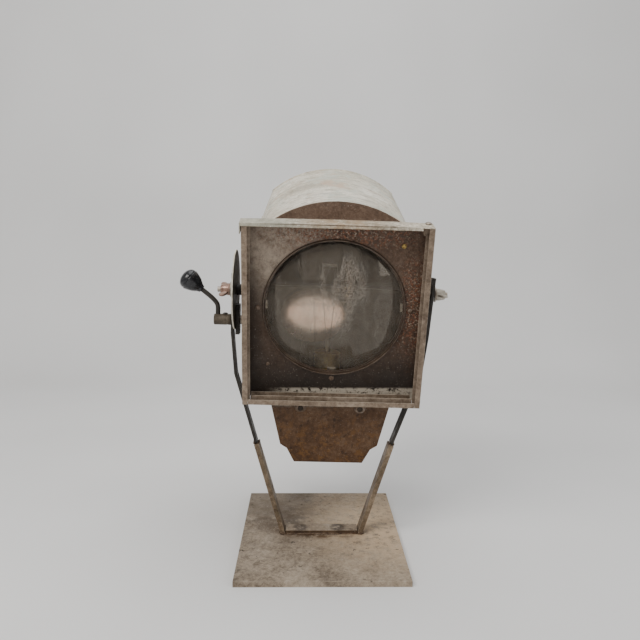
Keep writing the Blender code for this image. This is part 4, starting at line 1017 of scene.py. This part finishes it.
def build_lamp():
    """Bulb, filament support, cap, socket and mirror on the carriage, turned finely."""
    place = HEAD @ Matrix.Translation((0, CARRIAGE_Y, GUIDE_Z))
    centre = LENS_Z - GUIDE_Z
    globe = 34.0
    outer = [(12.6, 62.3), (13.0, 64.0), (14, 70), (15, 95), (18, centre - 29)]
    for i in range(1, 24):
        t = math.radians(-50 + 140 * i / 24)
        outer.append((globe * math.cos(t), centre + globe * math.sin(t)))
    outer.append((0, centre + globe))
    finish_mesh("bulb_fine", lathe(outer, 64), place, LOOKS["bulb"], "carriage", ("bulb",), 60)
    build_filament(place, centre)
    cap = [(0, 40.3), (12.8, 40.3)]
    for i in range(5):
        cap += [(13.0, 42 + 4 * i), (12.1, 44 + 4 * i)]
    cap += [(13.0, 61.4), (12.6, 62.0), (0, 62.0)]
    finish_mesh("bulb_cap_fine", lathe(cap, 48), place, LOOKS["brass"], "carriage", ("bulb_cap",), 60)
    socket = [(0, 9.3), (21.6, 9.3), (22, 9.8), (22, 14.4), (21.2, 15.2), (19.2, 16.0), (19, 17), (19, 38.8),
              (18.2, 40), (0, 40)]
    finish_mesh("lamp_socket_fine", lathe(socket, 56), place, LOOKS["ceramic"], "carriage",
                ("lamp_socket",), 50)
    profile = []
    for i in range(25):
        radius = MIRROR_HALF[0] * i / 24
        profile.append((radius, math.sqrt(95.0 ** 2 - radius ** 2) - 95.0))
    profile += [(r, y + 1.5) for r, y in profile[::-1]]
    tilt = Matrix.Rotation(-math.radians(20), 4, "X")
    oval = Matrix.Scale(MIRROR_HALF[1] / MIRROR_HALF[0], 4, (0, 0, 1))
    back = HEAD @ Matrix.Translation(MIRROR_AT) @ tilt @ oval @ Matrix.Rotation(-math.pi / 2, 4, "X")
    finish_mesh("mirror_fine", lathe(profile, 96), back, LOOKS["mirror"], "carriage", ("mirror",), 50)


def build_filament(place, centre):
    """Coiled filament on two support wires from the glass stem."""
    bm = tube([(0, 0, 62.6), (0, 0, 74)], 2.6, 16)
    for sign in (-1, 1):
        wire = [(sign * 1.6, 0, 73), (sign * 5.5, 0, 110), (sign * 8.0, 0, centre - 2)]
        tube(wire, 0.25, 8, bm)
    coil = []
    for i in range(97):
        angle = 2 * math.pi * i / 8
        coil.append((-8 + 16 * i / 96, 1.5 * math.cos(angle), centre - 2 + 1.5 * math.sin(angle)))
    tube(coil, 0.22, 6, bm)
    finish_mesh("bulb_filament", bm, place, LOOKS["steel"], "carriage", (), 60)


# ---------------------------------------------------------------- stage, light and camera

def build_stage():
    bm = bmesh.new()
    corners = []
    for x in (-2.2, 2.2):
        run = [bm.verts.new((x, -2.6, 0)), bm.verts.new((x, 1.1, 0))]
        for i in range(1, 13):
            angle = math.pi / 2 * i / 12
            run.append(bm.verts.new((x, 1.1 + 0.5 * math.sin(angle), 0.5 - 0.5 * math.cos(angle))))
        run.append(bm.verts.new((x, 1.6, 3.2)))
        corners.append(run)
    for i in range(len(corners[0]) - 1):
        bm.faces.new((corners[0][i], corners[1][i], corners[1][i + 1], corners[0][i + 1]))
    mesh = bpy.data.meshes.new("studio_floor")
    bm.to_mesh(mesh)
    bm.free()
    mesh.shade_smooth()
    p = Paint("studio_floor_paint", roughness=0.7)
    tone = p.noise(2.0, 2, 0.5)
    mesh.materials.append(p.done(p.ramp(tone, (0.3, (0.70, 0.70, 0.70)), (0.7, (0.76, 0.76, 0.76)))))
    floor = bpy.data.objects.new("studio_floor", mesh)
    bpy.context.collection.objects.link(floor)


def area_light(name, place, aim, size, power, colour=(1, 1, 1)):
    lamp = bpy.data.lights.new(name, "AREA")
    lamp.shape = "RECTANGLE"
    lamp.size, lamp.size_y = size
    lamp.energy = power
    lamp.color = colour
    made = bpy.data.objects.new(name, lamp)
    made.location = place
    made.rotation_euler = (Vector(aim) - Vector(place)).to_track_quat("-Z", "Y").to_euler()
    bpy.context.collection.objects.link(made)


def build_lights():
    area_light("key", (-1.3, -1.5, 2.1), (0, 0, 0.3), (1.6, 1.2), 50, (1.0, 0.97, 0.93))
    area_light("overhead", (0.2, 0.1, 2.2), (0, 0, 0.2), (1.8, 1.6), 24)
    area_light("front", (-0.1, -2.5, 0.9), (0, 0, 0.35), (2.4, 1.6), 7, (1.0, 0.97, 0.93))
    area_light("fill", (1.8, -1.2, 0.9), (0, 0, 0.3), (1.2, 1.2), 10, (0.95, 0.98, 1.0))
    world = bpy.data.worlds.new("studio")
    world.use_nodes = True
    background = world.node_tree.nodes["Background"]
    background.inputs["Color"].default_value = (1.0, 0.98, 0.95, 1.0)
    background.inputs["Strength"].default_value = 0.38
    bpy.context.scene.world = world


def build_camera():
    """Looks slightly down at the lamp, from just left of its centre line."""
    lens = bpy.data.cameras.new("camera")
    lens.sensor_width = 36.0
    lens.lens = 40.95
    made = bpy.data.objects.new("camera", lens)
    pitch, yaw, roll = (math.radians(a) for a in (6.9, 1.1, 0.4))
    turn = Matrix.Rotation(-yaw, 4, "Z") @ Matrix.Rotation(math.pi / 2 - pitch, 4, "X")
    made.matrix_world = Matrix.Translation((-0.023, -1.048, 0.454)) @ turn @ Matrix.Rotation(roll, 4, "Z")
    bpy.context.collection.objects.link(made)
    bpy.context.scene.camera = made


build_camera()
build_stage()
build_lights()
dress_nodes()
build_lens()
build_front_screws()
build_knob()
build_lever()
build_wing_nuts()
build_bolts()
build_welds()
build_hood_trim()
build_rear_louvres()
build_rear_fittings()
build_guide_nuts()
build_lamp()
